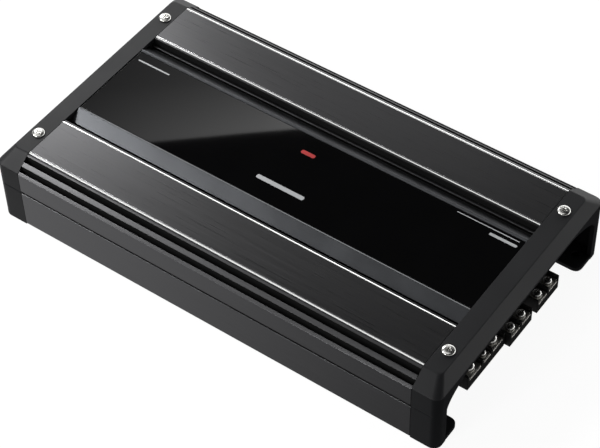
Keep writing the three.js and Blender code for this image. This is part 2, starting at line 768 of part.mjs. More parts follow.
for (const [index, y] of SWITCH.places.entries()) {
  addPiece(`filter_switch_${index + 1}`, atInputEnd(buildSwitch(y)), 'nickel');
}

function buildControlBlock() {
  const { y0, y1, topZ } = CONTROL_BLOCK;
  let body = box(BLOCK_INNER_X, BODY_HALF, y0, y1, PART_FLOOR_Z, topZ);
  return cutControls(body, KNOB.innerX - GAP, SWITCH.innerX - GAP, LAMP.innerX - GAP, BODY_HALF + OVER);
}

// Cuts the holes of the knobs, the switches and the lamp, each from where it starts as far as x1.
function cutControls(body, knobX, switchX, lampX, x1) {
  let cut = body;
  for (const { y } of KNOB.places) {
    cut = cut.subtract(cylinderX(y, KNOB.z, KNOB.radius + HOLE_CLEARANCE, knobX, x1));
  }
  for (const y of SWITCH.places) {
    cut = cut.subtract(switchSlot(y, switchX, x1));
  }
  return cut.subtract(cylinderX(LAMP.y, LAMP.z, LAMP.radius + GAP, lampX, x1, SMALL_ROUND));
}

addPiece('control_block', atInputEnd(buildControlBlock()), 'blackPlastic');

const lamp = cylinderX(LAMP.y, LAMP.z, LAMP.radius, LAMP.innerX, LAMP.outerX, SMALL_ROUND);
addPiece('power_lamp', atInputEnd(lamp), 'lamp');

const fuseY = (FUSE_HOLDER.y0 + FUSE_HOLDER.y1) / 2;

// A plug-in fuse's form at a height z, a body from bodyX to outerX and two blades behind it, widened
// by a gap for the pocket that takes it.
function fuseForm(z, bodyX, outerX, gap) {
  const { bodyY, bodyZ, bladeX, bladeSpread, bladeWidth, bladeThickness } = FUSE;
  const tall = bodyZ / 2 + gap;
  const thick = bladeThickness / 2 + gap;
  let form = block((bodyX + outerX) / 2, fuseY, outerX - bodyX, bodyY + 2 * gap, z - tall, z + tall);
  for (const side of [-1, 1]) {
    const y = fuseY + side * bladeSpread;
    const half = bladeWidth / 2 + gap;
    form = form.add(box(bladeX - gap, bodyX + OVER, y - half, y + half, z - thick, z + thick));
  }
  return form;
}

function buildFuseHolder() {
  const { y0, y1, z0, z1, frontX } = FUSE_HOLDER;
  let holder = box(BLOCK_INNER_X, frontX, y0, y1, z0, z1);
  for (const z of FUSE.heights) {
    holder = holder.subtract(fuseForm(z, FUSE.pocketX, frontX + OVER, GAP));
  }
  return holder;
}

for (const [index, z] of FUSE.heights.entries()) {
  addPiece(`fuse_${index + 1}`, atInputEnd(fuseForm(z, FUSE.bodyX, FUSE.outerX, 0)), 'fuse');
}
addPiece('fuse_holder', atInputEnd(buildFuseHolder()), 'blackPlastic');

// ---------------------------------------------------------------- end panels

// A steel panel that closes the body's end, with a tab at each side of its top for a cap screw.
function buildEndPanel() {
  const topZ = HEIGHT - CAP_WALL - 2 * GAP;
  const tabX = 167.6;
  const tabHalf = 8;
  const edgeY = WALL_INNER_Y - 0.4;
  const half = [
    [edgeY, LEDGE_BOTTOM_Z],
    [edgeY, 43],
    [83, topZ],
  ];
  let body = extrudeAlongX(shapeOf([...half, ...mirrored(half)]), CAP_INNER_X, END_PANEL_OUTER_X);
  for (const y of [-CAP_SCREW_Y, CAP_SCREW_Y]) {
    const tabBottomZ = topZ - END_PANEL_THICKNESS;
    body = body.add(box(CAP_INNER_X, tabX, y - tabHalf, y + tabHalf, tabBottomZ, topZ));
    body = body.subtract(screwHole(CAP_SCREW_X, y, CAP_SCREW, tabBottomZ - OVER, topZ + OVER));
  }
  return body;
}

const panelCutX0 = CAP_INNER_X - OVER;
const panelCutX1 = END_PANEL_OUTER_X + OVER;

// A window through an end panel, with a small gap round what goes through it.
function panelWindow(y0, y1, z0, z1) {
  return box(panelCutX0, panelCutX1, y0 - GAP, y1 + GAP, z0 - GAP, z1 + GAP);
}

function buildOutputPanel() {
  let body = buildEndPanel();
  for (const { centreY } of speakerBlocks) {
    const y0 = centreY - SPEAKER_BLOCK.width / 2;
    const y1 = centreY + SPEAKER_BLOCK.width / 2;
    body = body.subtract(panelWindow(y0, y1, SPEAKER_BLOCK.bottomZ, TERMINAL_TOP_Z));
  }
  const { y0, y1, bottomZ } = POWER_BLOCK;
  return body.subtract(panelWindow(y0, y1, bottomZ, TERMINAL_TOP_Z));
}

function buildInputPanel() {
  let body = buildEndPanel();
  for (const y of JACK.places) {
    body = body.subtract(panelWindow(y - JACK.width / 2, y + JACK.width / 2, PART_FLOOR_Z, JACK.topZ));
  }
  body = cutControls(body, panelCutX0, panelCutX0, panelCutX0, panelCutX1);
  const { y0, y1, z0, z1 } = FUSE_HOLDER;
  return body.subtract(panelWindow(y0, y1, z0, z1));
}

addPiece('output_end_panel', buildOutputPanel(), 'steel');
addPiece('input_end_panel', atInputEnd(buildInputPanel()), 'steel');

// ---------------------------------------------------------------- inside the body

// The toroidal transformer of the power supply, lying on the board.
function buildTransformer() {
  const { x, y, outerRadius, innerRadius, height, rounding } = TRANSFORMER;
  const profile = new THREE.Path();
  profile.absarc(outerRadius - rounding, rounding, rounding, -Math.PI / 2, 0, false);
  profile.absarc(outerRadius - rounding, height - rounding, rounding, 0, Math.PI / 2, false);
  profile.absarc(innerRadius + rounding, height - rounding, rounding, Math.PI / 2, Math.PI, false);
  profile.absarc(innerRadius + rounding, rounding, rounding, Math.PI, Math.PI * 1.5, false);
  const outline = profile.getPoints(2).map((point) => [point.x, point.y]);
  outline.push(outline[0]);
  const sides = 24;
  return turned(x, y, PART_FLOOR_Z, outline, sides);
}

addPiece('power_transformer', buildTransformer(), 'copper');

for (const [index, [x, y]] of CAPACITOR.places.entries()) {
  const { radius, height, edge } = CAPACITOR;
  const outline = [[0, 0], [radius, 0], [radius, height - edge], [radius - edge, height], [0, height]];
  addPiece(`capacitor_${index + 1}`, turned(x, y, PART_FLOOR_Z, outline), 'sleeve');
}

// Transistors stand over the board with their backs to the heat sink's inner ribs. A sprung bar along
// each row, held by one screw, presses them on. Each piece is built at the rear, then put on its side.
const transistorBackY = RIB_INNER_Y - GAP;
const transistorFrontY = transistorBackY - TRANSISTOR.thickness;

function onSide(body, side) {
  return side < 0 ? body.mirror([0, 1, 0]) : body;
}

for (const { side, places } of transistorRows) {
  const { width, height, z } = TRANSISTOR;
  for (const x of places) {
    const number = TRANSISTOR.places.indexOf(x) + 1;
    const body = box(x - width / 2, x + width / 2, transistorFrontY, transistorBackY, z, z + height);
    addPiece(`transistor_${number}`, onSide(body, side), 'blackPlastic');
  }
}

for (const { name, side, places } of transistorRows) {
  const { thickness, height, overlap, screwZ } = CLAMP_BAR;
  const x0 = Math.min(...places) - overlap;
  const x1 = Math.max(...places) + overlap;
  const screwX = middle(places);
  const outerY = transistorFrontY - GAP;
  const innerY = outerY - thickness;
  const bar = box(x0, x1, innerY, outerY, screwZ - height / 2, screwZ + height / 2)
    .subtract(screwHoleAlongY(screwX, innerY, screwZ, CLAMP_SCREW));
  const screw = panScrew({ x: 0, y: 0, z: HEAD_CLEARANCE, ...CLAMP_SCREW })
    .rotate([90, 0, 0])
    .translate([screwX, innerY, screwZ]);
  addPiece(`transistor_clamp_${name}`, onSide(bar, side), 'steel');
  addPiece(`transistor_clamp_screw_${name}`, onSide(screw, side), 'nickel');
}

export default amplifier;
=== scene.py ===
"""A four-channel car amplifier on a pale studio floor.

Metres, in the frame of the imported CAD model: +X runs towards the terminal end, -Y is the front long
side, +Z is up. Forms are built in millimetres round the boxes of the CAD nodes that they stand for,
and place() scales them to metres.
"""

import json
import math

import bmesh
import bpy
from mathutils import Matrix, Vector


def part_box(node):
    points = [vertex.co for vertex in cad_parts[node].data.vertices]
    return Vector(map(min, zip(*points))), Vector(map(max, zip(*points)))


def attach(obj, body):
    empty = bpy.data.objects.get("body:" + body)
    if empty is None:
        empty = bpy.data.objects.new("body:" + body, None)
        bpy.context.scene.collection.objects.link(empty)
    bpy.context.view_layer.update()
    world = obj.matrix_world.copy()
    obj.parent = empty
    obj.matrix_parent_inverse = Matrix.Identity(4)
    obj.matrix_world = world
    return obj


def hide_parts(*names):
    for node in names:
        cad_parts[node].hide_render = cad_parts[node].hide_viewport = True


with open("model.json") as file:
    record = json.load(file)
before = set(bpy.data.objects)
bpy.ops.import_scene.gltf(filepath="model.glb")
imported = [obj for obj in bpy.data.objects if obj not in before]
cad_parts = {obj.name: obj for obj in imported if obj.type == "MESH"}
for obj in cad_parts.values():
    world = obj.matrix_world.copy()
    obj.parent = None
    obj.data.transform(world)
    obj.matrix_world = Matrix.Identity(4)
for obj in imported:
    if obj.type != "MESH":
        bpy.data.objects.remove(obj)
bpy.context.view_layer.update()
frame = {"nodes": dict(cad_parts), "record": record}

MM = 0.001


# ---- camera, floor and light

CAMERA_PLACE = Vector((0.52612, -0.70382, 0.99594))
CAMERA_RIGHT = Vector((0.8149, 0.5792, -0.0194))
CAMERA_UP = Vector((-0.4227, 0.6170, 0.6638))
CAMERA_LENS = 116.85  # mm
SENSOR_WIDTH = 36.0  # mm

FLOOR_HALF = 8.0
FLOOR_HEIGHT = -0.05 * MM  # just clear of the feet
FOOT_HOLE_X, FOOT_HOLE_Y = 167.5, 86.0  # mm from the middle, on all four sides
# the painted shadows under the feet: dark squares just above the floor
PAINTED_SHADOW_HALF = 5.0 * MM
PAINTED_SHADOW_HEIGHT = -0.03 * MM


def add_object(name, data):
    made = bpy.data.objects.new(name, data)
    bpy.context.collection.objects.link(made)
    return made


def stand(thing, place, side, up, back):
    """Puts a camera or a light at a place, looking away from back."""
    turn = Matrix((side, up, back)).transposed().to_4x4()
    thing.matrix_world = Matrix.Translation(place) @ turn


def add_camera():
    data = bpy.data.cameras.new("camera")
    data.lens = CAMERA_LENS
    data.sensor_width = SENSOR_WIDTH
    data.clip_start = 0.01
    data.clip_end = 50
    camera = add_object("camera", data)
    stand(camera, CAMERA_PLACE, CAMERA_RIGHT, CAMERA_UP, CAMERA_RIGHT.cross(CAMERA_UP))
    bpy.context.scene.camera = camera


def flat_sheet(name, x, y, half, height, material):
    """A level square in metres, its middle at x and y."""
    mesh = bpy.data.meshes.new(name)
    signs = ((-1, -1), (1, -1), (1, 1), (-1, 1))
    corners = [(x + i * half, y + j * half, height) for i, j in signs]
    mesh.from_pydata(corners, [], [(0, 1, 2, 3)])
    mesh.materials.append(material)
    return add_object(name, mesh)


def add_floor():
    look = Look("pale_floor", (0.12, 0.12, 0.12), 0.9)
    look.set("Specular IOR Level", 0.0)
    look.set("Emission Color", (1, 1, 1, 1))
    look.set("Emission Strength", 0.93)
    floor = flat_sheet("floor", 0, 0, FLOOR_HALF, FLOOR_HEIGHT, look.material)
    floor.visible_glossy = False
    floor.visible_diffuse = False
    # a near-black look for the painted shadows under the feet
    shade = Look("painted_floor_shadow", (0.03, 0.03, 0.03), 0.9).material
    for x in (-FOOT_HOLE_X * MM, FOOT_HOLE_X * MM):
        for y in (-FOOT_HOLE_Y * MM, FOOT_HOLE_Y * MM):
            # painted shadow: a dark sheet just above the floor under a foot, seen only through the
            # foot's hole
            painted_shadow = flat_sheet("painted_foot_shadow", x, y, PAINTED_SHADOW_HALF, PAINTED_SHADOW_HEIGHT, shade)


def add_softbox(name, place, target, size, radiance, along=None):
    """A rectangular light at place that faces target; along is the direction of its first side."""
    data = bpy.data.lights.new(name, "AREA")
    data.shape = "RECTANGLE"
    data.size, data.size_y = size
    data.energy = radiance * math.pi * size[0] * size[1]
    light = add_object(name, data)
    back = (Vector(place) - Vector(target)).normalized()
    side = Vector((0, 0, 1)).cross(back) if along is None else Vector(along)
    side = (side - side.dot(back) * back).normalized()
    stand(light, place, side, back.cross(side), back)
    return light


class Nodes:
    """A node tree under construction."""

    def __init__(self, tree):
        self.tree = tree

    def node(self, kind, **values):
        """A new shader node with values for its inputs and settings."""
        made = self.tree.nodes.new("ShaderNode" + kind)
        for name, value in values.items():
            if name in made.inputs.keys():
                made.inputs[name].default_value = value
            else:
                setattr(made, name, value)
        return made

    def link(self, output, target):
        self.tree.links.new(output, target)

    def ramp(self, value, stops):
        """A ramp of grey levels over a value from 0 to 1."""
        ramp = self.node("ValToRGB")
        self.link(value, ramp.inputs["Fac"])
        elements = ramp.color_ramp.elements
        elements.remove(elements[0])
        for index, (place, level) in enumerate(stops):
            element = elements[0] if index == 0 else elements.new(place)
            element.position = place
            element.color = (level, level, level, 1)
        return ramp.outputs["Color"]

    def together(self, operation, whole, *others):
        """The product or the sum of two or more colours."""
        for other in others:
            maths = self.node("VectorMath", operation=operation)
            self.link(whole, maths.inputs[0])
            self.link(other, maths.inputs[1])
            whole = maths.outputs[0]
        return whole


# Grey levels of the studio round the object, low down and from the horizon up: by height, then from
# left to right and from front to back. The place of a stop is the direction's Z, X or Y, moved from
# -1..1 to 0..1.
LOW = (
    [(0.0, 0.5), (0.36, 0.56), (0.42, 0.0), (1.0, 0.0)],
    [
        (0.18, 1.3), (0.25, 1.05), (0.29, 0.72), (0.33, 0.32), (0.36, 0.16), (0.42, 0.08),
        (1.0, 0.08),
    ],
    [(0.0, 1.0), (0.5, 1.0), (0.7, 0.7), (1.0, 0.7)],
)
HIGH = (
    [
        (0.36, 0.0), (0.42, 1.2), (0.5, 1.6), (0.6, 2.1), (0.64, 2.0), (0.68, 0.5), (0.76, 0.02),
        (1.0, 0.015),
    ],
    [(0.08, 0.6), (0.2, 0.8), (0.28, 0.95), (0.6, 0.95), (0.8, 1.0), (1.0, 1.0)],
    [(0.0, 0.3), (0.45, 0.35), (0.6, 1.0), (0.82, 1.0), (0.92, 1.6), (1.0, 1.6)],
)


def add_world():
    world = bpy.data.worlds.new("studio")
    bpy.context.scene.world = world
    world.use_nodes = True
    nodes = Nodes(world.node_tree)
    coordinates = nodes.node("TexCoord")
    shift = nodes.node("Mapping", Location=(0.5, 0.5, 0.5), Scale=(0.5, 0.5, 0.5))
    split = nodes.node("SeparateXYZ")
    nodes.link(coordinates.outputs["Generated"], shift.inputs["Vector"])
    nodes.link(shift.outputs["Vector"], split.inputs[0])
    halves = []
    for ramps in (LOW, HIGH):
        levels = [nodes.ramp(split.outputs[axis], stops) for axis, stops in zip("ZXY", ramps)]
        halves.append(nodes.together("MULTIPLY", *levels))
    background = world.node_tree.nodes["Background"]
    nodes.link(nodes.together("ADD", *halves), background.inputs["Color"])


def fade_softbox(light, along, across):
    """Makes a softbox's brightness run through levels along its first side and its second."""
    light.data.use_nodes = True
    nodes = Nodes(light.data.node_tree)
    geometry = nodes.node("NewGeometry")
    split = nodes.node("SeparateXYZ")
    nodes.link(geometry.outputs["Parametric"], split.inputs[0])
    levels = [nodes.ramp(split.outputs["X"], along), nodes.ramp(split.outputs["Y"], across)]
    emission = light.data.node_tree.nodes["Emission"]
    nodes.link(nodes.together("MULTIPLY", *levels), emission.inputs["Color"])


def add_lights():
    add_softbox("overhead", (-0.62, -0.1, 1.75), (-0.1, 0, 0), (2.0, 1.0), 0.95, (1, 0, 0))
    # the key light, beyond what the gloss panel mirrors
    add_softbox("key", (-1.05, 0.71, 0.86), (-0.12, 0, 0), (0.36, 0.36), 16.5)
    # the light that grazes the front slopes and shoulder from the left
    add_softbox(
        "front_key", (-0.98, -0.74, 0.9), (-0.1, -0.05, 0), (0.5, 0.3), 27.0, (0, -0.83, -0.56),
    )
    # a smaller one for the shoulders towards the right-hand end
    add_softbox("shoulder_light", (-0.17, -1.36, 0.74), (0.12, -0.09, 0.05), (0.3, 0.3), 17.0)
    # the left softbox's edge is what the gloss panel mirrors as a slanting line
    edge = Vector((0.744, 0.668, 0))
    middle = Vector((-0.936, 1.057, 1.464))
    down = Vector((-0.471, 0.5245, -0.7076))
    depth = 0.8
    width = 1.3
    centre = middle + down * (depth / 2)
    facing = edge.cross(down)
    left = add_softbox("left", centre, centre - facing, (width, depth), 2.6, edge)
    fade_softbox(
        left,
        [(0.0, 0.08), (0.3, 0.17), (0.55, 0.6), (0.75, 1.2)],
        [(0.0, 1.0), (0.12, 0.42), (0.25, 0.2), (0.5, 0.15), (1.0, 0.1)],
    )


def standard_view():
    settings = bpy.context.scene.view_settings
    settings.view_transform = "Standard"
    settings.look = "None"


# ---- materials

FACTOR, FIRST, SECOND, RESULT = 0, 6, 7, 2  # the sockets of a Mix node that mixes colours


class Look(Nodes):
    """A material under construction, its patterns measured in millimetres."""

    def __init__(self, name, colour, roughness):
        self.material = bpy.data.materials.new(name)
        self.material.use_nodes = True
        super().__init__(self.material.node_tree)
        self.shader = self.tree.nodes["Principled BSDF"]
        self.colour = colour
        self.roughness = roughness
        self.set("Base Color", (*colour, 1))
        self.set("Roughness", roughness)

    def set(self, socket, value):
        self.shader.inputs[socket].default_value = value

    def noise(self, per_mm, detail=2.0, roughness=0.5):
        """Noise with per_mm = (x, y, z) features in each millimetre."""
        coordinates = self.node("TexCoord")
        mapping = self.node("Mapping", Scale=[count / MM for count in per_mm])
        texture = self.node("TexNoise", Scale=1.0, Detail=detail, Roughness=roughness)
        self.link(coordinates.outputs["Object"], mapping.inputs["Vector"])
        self.link(mapping.outputs["Vector"], texture.inputs["Vector"])
        return texture.outputs["Fac"]

    def ranged(self, value, low, high, source=(0.3, 0.7)):
        """The value spread from the source range to low..high."""
        spread = self.node("MapRange", **{
            "From Min": source[0], "From Max": source[1], "To Min": low, "To Max": high,
        })
        self.link(value, spread.inputs["Value"])
        return spread.outputs["Result"]

    def shade(self, value, low, high):
        """The base colour times a factor that follows the value from low to high."""
        factor = self.ranged(value, low, high)
        mix = self.node("Mix", data_type="RGBA", blend_type="MULTIPLY")
        mix.inputs[FACTOR].default_value = 1.0
        mix.inputs[FIRST].default_value = (*self.colour, 1)
        self.link(factor, mix.inputs[SECOND])
        self.link(mix.outputs[RESULT], self.shader.inputs["Base Color"])

    def roughen(self, value, spread):
        """The roughness follows the value up and down by spread."""
        result = self.ranged(value, self.roughness - spread, self.roughness + spread)
        self.link(result, self.shader.inputs["Roughness"])

    def vary(self, value, low, high, spread):
        self.shade(value, low, high)
        self.roughen(value, spread)

    def bump(self, value, depth_mm, strength=1.0):
        bump = self.node("Bump", Strength=strength, Distance=depth_mm * MM)
        self.link(value, bump.inputs["Height"])
        self.link(bump.outputs["Normal"], self.shader.inputs["Normal"])

    def be_metal(self):
        self.set("Metallic", 1.0)

    def brushed(self, amount, across):
        """The reflection spreads along the direction across the brushing."""
        self.set("Anisotropic", amount)
        direction = self.node("CombineXYZ", X=across[0], Y=across[1], Z=across[2])
        self.link(direction.outputs[0], self.shader.inputs["Tangent"])


STREAK = (0.02, 2.4, 2.4)  # brushing along X: long, thin streaks
GRAIN = (3.5, 3.5, 3.5)
CLOUD = (0.03, 0.03, 0.03)


def brushed_metal(look, across, contrast, anisotropic):
    look.be_metal()
    streak = look.noise(STREAK, detail=3.0, roughness=0.6)
    look.vary(streak, 1 - contrast, 1 + contrast, 0.04)
    look.bump(streak, 0.004, 0.5)
    look.brushed(anisotropic, across)


def polished_metal(look):
    look.be_metal()
    look.vary(look.noise(STREAK), 0.96, 1.03, 0.015)


def satin_metal(look):
    """Metal with a fine blasted and anodised surface."""
    look.be_metal()
    look.vary(look.noise(CLOUD, detail=3.0), 0.93, 1.07, 0.02)
    look.bump(look.noise(GRAIN, detail=3.0), 0.0015, 0.5)


def painted(look, specular, grain_mm, depth_mm):
    """A coat of paint or coating with a fine grain and slow changes of gloss."""
    look.set("Specular IOR Level", specular)
    look.vary(look.noise(CLOUD, detail=3.0), 0.9, 1.12, 0.03)
    look.bump(look.noise([1 / grain_mm] * 3, detail=3.0, roughness=0.6), depth_mm)


def plated(look):
    """Bright plated metal, slightly uneven, as on screws and clamps."""
    look.be_metal()
    look.vary(look.noise((0.5, 0.5, 0.5), detail=4.0, roughness=0.6), 0.9, 1.04, 0.07)
    look.bump(look.noise(GRAIN), 0.003, 0.6)


def moulded(look):
    """Moulded plastic with a fine spark-eroded grain."""
    look.set("Specular IOR Level", 0.4)
    grain = look.noise(GRAIN)
    look.shade(look.noise((0.1, 0.1, 0.1)), 0.85, 1.15)
    look.roughen(grain, 0.06)
    look.bump(grain, 0.012, 0.7)


def gloss(look):
    look.shade(look.noise(CLOUD), 0.9, 1.1)
    look.bump(look.noise((0.25, 0.25, 0.25), detail=1.0), 0.0006, 0.3)


def solder_resist(look):
    """Solder resist with a faint grid of tracks under it."""
    track = look.noise((0.5, 0.06, 0.5), detail=1.0, roughness=0.2)
    look.shade(track, 0.75, 1.35)
    look.bump(look.ranged(track, 0.0, 1.0, (0.48, 0.52)), 0.03)


def enamelled_wire(look):
    look.be_metal()
    look.shade(look.noise((1.5, 1.5, 0.3), detail=3.0), 0.75, 1.15)
    look.roughen(look.noise(GRAIN), 0.06)


def tinted(look, transmission):
    look.shade(look.noise((0.15, 0.15, 0.15)), 0.9, 1.1)
    look.set("Transmission Weight", transmission)


ACROSS_TOP = (0, 1, 0)
ACROSS_SIDE = (0, 0, 1)

# what finishes each look, its colour and roughness, and the finish's own values
FINISHES = {
    "top_brushed": (brushed_metal, (0.068, 0.068, 0.07), 0.31, ACROSS_TOP, 0.06, 0.1),
    "side_brushed": (brushed_metal, (0.15, 0.15, 0.156), 0.34, ACROSS_SIDE, 0.08, 0.5),
    "fin": (brushed_metal, (0.062, 0.062, 0.064), 0.38, ACROSS_TOP, 0.05, 0.3),
    # painted shade: near black for the shade in the heat sink's grooves and hollows, which are the
    # same anodised metal as its sides
    "groove": (painted, (0.006, 0.006, 0.006), 0.6, 0.2, 0.5, 0.01),
    "polished": (polished_metal, (0.93, 0.93, 0.93), 0.22),
    "satin_trim": (satin_metal, (0.07, 0.0725, 0.077), 0.33),
    "gloss_black": (gloss, (0.002, 0.002, 0.0022), 0.025),
    "cap_paint": (painted, (0.0095, 0.0098, 0.011), 0.5, 0.25, 0.35, 0.006),
    "black_steel": (painted, (0.012, 0.012, 0.012), 0.5, 0.4, 0.5, 0.01),
    "nickel": (plated, (0.7, 0.695, 0.67), 0.24),
    "tin": (plated, (0.86, 0.84, 0.79), 0.36),
    "black_plastic": (moulded, (0.009, 0.009, 0.009), 0.42),
    "white_plastic": (moulded, (0.6, 0.6, 0.58), 0.4),
    "red_plastic": (moulded, (0.4, 0.02, 0.015), 0.4),
    "board": (solder_resist, (0.012, 0.09, 0.03), 0.35),
    "copper": (enamelled_wire, (0.45, 0.16, 0.05), 0.3),
    "capacitor_sleeve": (painted, (0.01, 0.012, 0.02), 0.3, 0.5, 0.6, 0.01),
    "fuse_plastic": (tinted, (0.04, 0.3, 0.08), 0.25, 0.4),
    "lamp_lens": (tinted, (0.5, 0.02, 0.01), 0.15, 0.3),
    "mark_grey": (painted, (0.42, 0.43, 0.44), 0.4, 0.5, 0.3, 0.002),
    "mark_red": (painted, (0.45, 0.02, 0.02), 0.35, 0.5, 0.3, 0.002),
}


def finished(name, finish, colour, roughness, *values):
    look = Look(name, colour, roughness)
    finish(look, *values)
    return look.material


LOOKS = {name: finished(name, *row) for name, row in FINISHES.items()}


# ---- forms, in millimetres

def node_box(node):
    low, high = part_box(node)
    return low / MM, high / MM


def node_middle(node):
    low, high = node_box(node)
    return (low + high) / 2


def bend(start, middle, end, part):
    """A point on the curve that leaves start and reaches end, drawn towards middle."""
    return start * (1 - part) ** 2 + middle * 2 * part * (1 - part) + end * part ** 2


ON_AXIS = 1e-6
LONGEST_ROUND = 0.48  # the share of a side that one round corner may take up
NO_ROUND = 0.01
STRAIGHT = math.radians(87)
SAME_PLACE = 0.001
SAME_PLANE = math.radians(1)


def rounded_outline(corners, steps=3):
    """The points and looks of a closed outline of (u, v, radius, look) with its corners rounded.

    A corner's look is that of the side after it.
    """
    points = []
    looks = []
    for index, (u, v, radius, look) in enumerate(corners):
        here = Vector((u, v))
        before = Vector(corners[index - 1][:2]) - here
        after = Vector(corners[(index + 1) % len(corners)][:2]) - here
        half_angle = before.angle(after) / 2
        longest = LONGEST_ROUND * min(before.length, after.length)
        reach = min(radius / math.tan(half_angle), longest)
        if reach < NO_ROUND or half_angle > STRAIGHT:
            points.append(here)
            looks.append(look)
            continue
        start = here + before.normalized() * reach
        end = here + after.normalized() * reach
        for step in range(steps + 1):
            points.append(bend(start, here, end, step / steps))
            looks.append(look)
    return points, looks


def rectangle(low, high, radius):
    """The corners of a rectangle, for raised()."""
    corners = ((low.x, low.y), (high.x, low.y), (high.x, high.y), (low.x, high.y))
    return [(*corner, radius) for corner in corners]


def prism(start, end, looks):
    """A form between two outlines of as many points, with the look of each side."""
    form = bmesh.new()
    start = [form.verts.new(point) for point in start]
    end = [form.verts.new(point) for point in end]
    for index, look in enumerate(looks):
        after = (index + 1) % len(looks)
        face = form.faces.new((start[index], start[after], end[after], end[index]))
        face.material_index = look
    form.faces.new(start)
    form.faces.new(end)
    bmesh.ops.recalc_face_normals(form, faces=form.faces)
    return form


def extruded(corners, x0, x1):
    """An outline of (y, z, radius, look) corners drawn out along X."""
    points, looks = rounded_outline(corners)
    return prism([(x0, u, v) for u, v in points], [(x1, u, v) for u, v in points], looks)


def raised(corners, z0, z1, steps=6):
    """An outline of (x, y, radius) corners drawn up along Z."""
    points, looks = rounded_outline([(*corner, 0) for corner in corners], steps)
    return prism([(u, v, z0) for u, v in points], [(u, v, z1) for u, v in points], looks)


def lathed(outline, sides=40):
    """An outline of (radius, height) points from axis to axis, turned about Z."""
    form = bmesh.new()
    rings = []
    for radius, height in outline:
        if radius < ON_AXIS:
            rings.append([form.verts.new((0, 0, height))] * sides)
            continue
        angles = [2 * math.pi * side / sides for side in range(sides)]
        ring = [(radius * math.cos(angle), radius * math.sin(angle), height) for angle in angles]
        rings.append([form.verts.new(point) for point in ring])
    for low, high in zip(rings, rings[1:]):
        for side in range(sides):
            after = (side + 1) % sides
            corners = (low[side], low[after], high[after], high[side])
            form.faces.new(list(dict.fromkeys(corners)))  # a point on the axis counts once
    bmesh.ops.recalc_face_normals(form, faces=form.faces)
    return form


def box(low, high):
    form = bmesh.new()
    bmesh.ops.create_cube(form, size=1.0)
    size = Vector(high) - Vector(low)
    middle = (Vector(high) + Vector(low)) / 2
    bmesh.ops.scale(form, vec=size, verts=form.verts)
    return moved(form, middle)


def bar(x0, x1, y, half_y, z, half_z):
    """A box along X, with y and z in the middle of its ends."""
    return box((x0, y - half_y, z - half_z), (x1, y + half_y, z + half_z))


def cylinder(centre, radius, z0, z1, sides=40):
    form = lathed([(0, z0), (radius, z0), (radius, z1), (0, z1)], sides)
    return moved(form, (*centre, 0))


def moved(form, by):
    bmesh.ops.translate(form, vec=by, verts=form.verts)
    return form


def turned(form, degrees, axis):
    turn = Matrix.Rotation(math.radians(degrees), 3, axis)
    bmesh.ops.rotate(form, cent=(0, 0, 0), matrix=turn, verts=form.verts)
    return form


def flipped(form, axis):
    """The form mirrored along an axis, its faces still pointing outwards."""
    factors = [1, 1, 1]
    factors["XYZ".index(axis)] = -1
    bmesh.ops.scale(form, vec=factors, verts=form.verts)
    bmesh.ops.reverse_faces(form, faces=form.faces)
    return form


def joined(*forms):
    """Several forms in one."""
    whole = forms[0]
    for form in forms[1:]:
        mesh = as_mesh(form)
        whole.from_mesh(mesh)
        bpy.data.meshes.remove(mesh)
    return whole


def painted_as(form, index):
    for face in form.faces:
        face.material_index = index
    return form


def as_mesh(form, name="form"):
    mesh = bpy.data.meshes.new(name)
    form.to_mesh(mesh)
    form.free()
    return mesh


def combined(form, others, operation):
    """The form with the others cut from it or added to it."""
    body, *tools = [add_object("form", as_mesh(each)) for each in (form, *others)]
    for tool in tools:
        modifier = body.modifiers.new("combine", "BOOLEAN")
        modifier.operation = operation
        modifier.solver = "EXACT"
        modifier.object = tool
    graph = bpy.context.evaluated_depsgraph_get()
    result = bmesh.new()
    evaluated = body.evaluated_get(graph)
    result.from_mesh(evaluated.to_mesh())
    evaluated.to_mesh_clear()
    for made in [body, *tools]:
        mesh = made.data
        bpy.data.objects.remove(made)
        bpy.data.meshes.remove(mesh)
    bmesh.ops.remove_doubles(result, verts=result.verts, dist=SAME_PLACE)
    bmesh.ops.dissolve_limit(
        result, angle_limit=SAME_PLANE, verts=result.verts, edges=result.edges,
        delimit={"MATERIAL"},
    )
    return result


def carved(form, *cuts):
    return combined(form, cuts, "DIFFERENCE")


def add_bevel(piece, width, segments=2, sharp=40):
    """Rounds the edges sharper than an angle in degrees, over a width in millimetres."""
    edge = piece.modifiers.new("edge", "BEVEL")
    edge.width = width * MM
    edge.segments = segments
    edge.limit_method = "ANGLE"
    edge.angle_limit = math.radians(sharp)


def place(form, name, looks, body="root", node=None, slot=None, bevel=0.0, segments=2, sharp=40):
    """Turns a form in millimetres into a piece that rides on a body and may stand for a CAD node.

    The slot argument is not used.
    """
    slot = slot or looks[0]
    bmesh.ops.scale(form, vec=(MM, MM, MM), verts=form.verts)
    for face in form.faces:
        face.smooth = True
    mesh = as_mesh(form, name)
    for look in looks:
        mesh.materials.append(LOOKS[look])
    piece = add_object(name, mesh)
    if bevel:
        add_bevel(piece, bevel, segments, sharp)
    else:
        mesh.set_sharp_from_angle(angle=math.radians(sharp))
    normals = piece.modifiers.new("normals", "WEIGHTED_NORMAL")
    normals.keep_sharp = True
    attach(piece, body)
    if node:
        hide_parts(node)
    return piece


# ---- heat sink and top plates

SINK_LOW, SINK_HIGH = node_box("heat_sink")
PLATE_LOW, PLATE_HIGH = node_box("top_plate_rear")
BODY_X0, BODY_X1 = SINK_LOW.x, SINK_HIGH.x
WALL_Y = SINK_HIGH.y
TOP_Z = PLATE_HIGH.z
SHOULDER_Y = 87.3
SHOULDER_STEP = 0.6
SHOULDER_FALL = 9.3
SHOULDER_BEND = 1.22
GAP = 0.3  # between the extrusions and what lies in them

# the looks of the heat sink's faces; the grooves' look is painted shade
SIDE, FIN, GROOVE_SHADE = 0, 1, 2


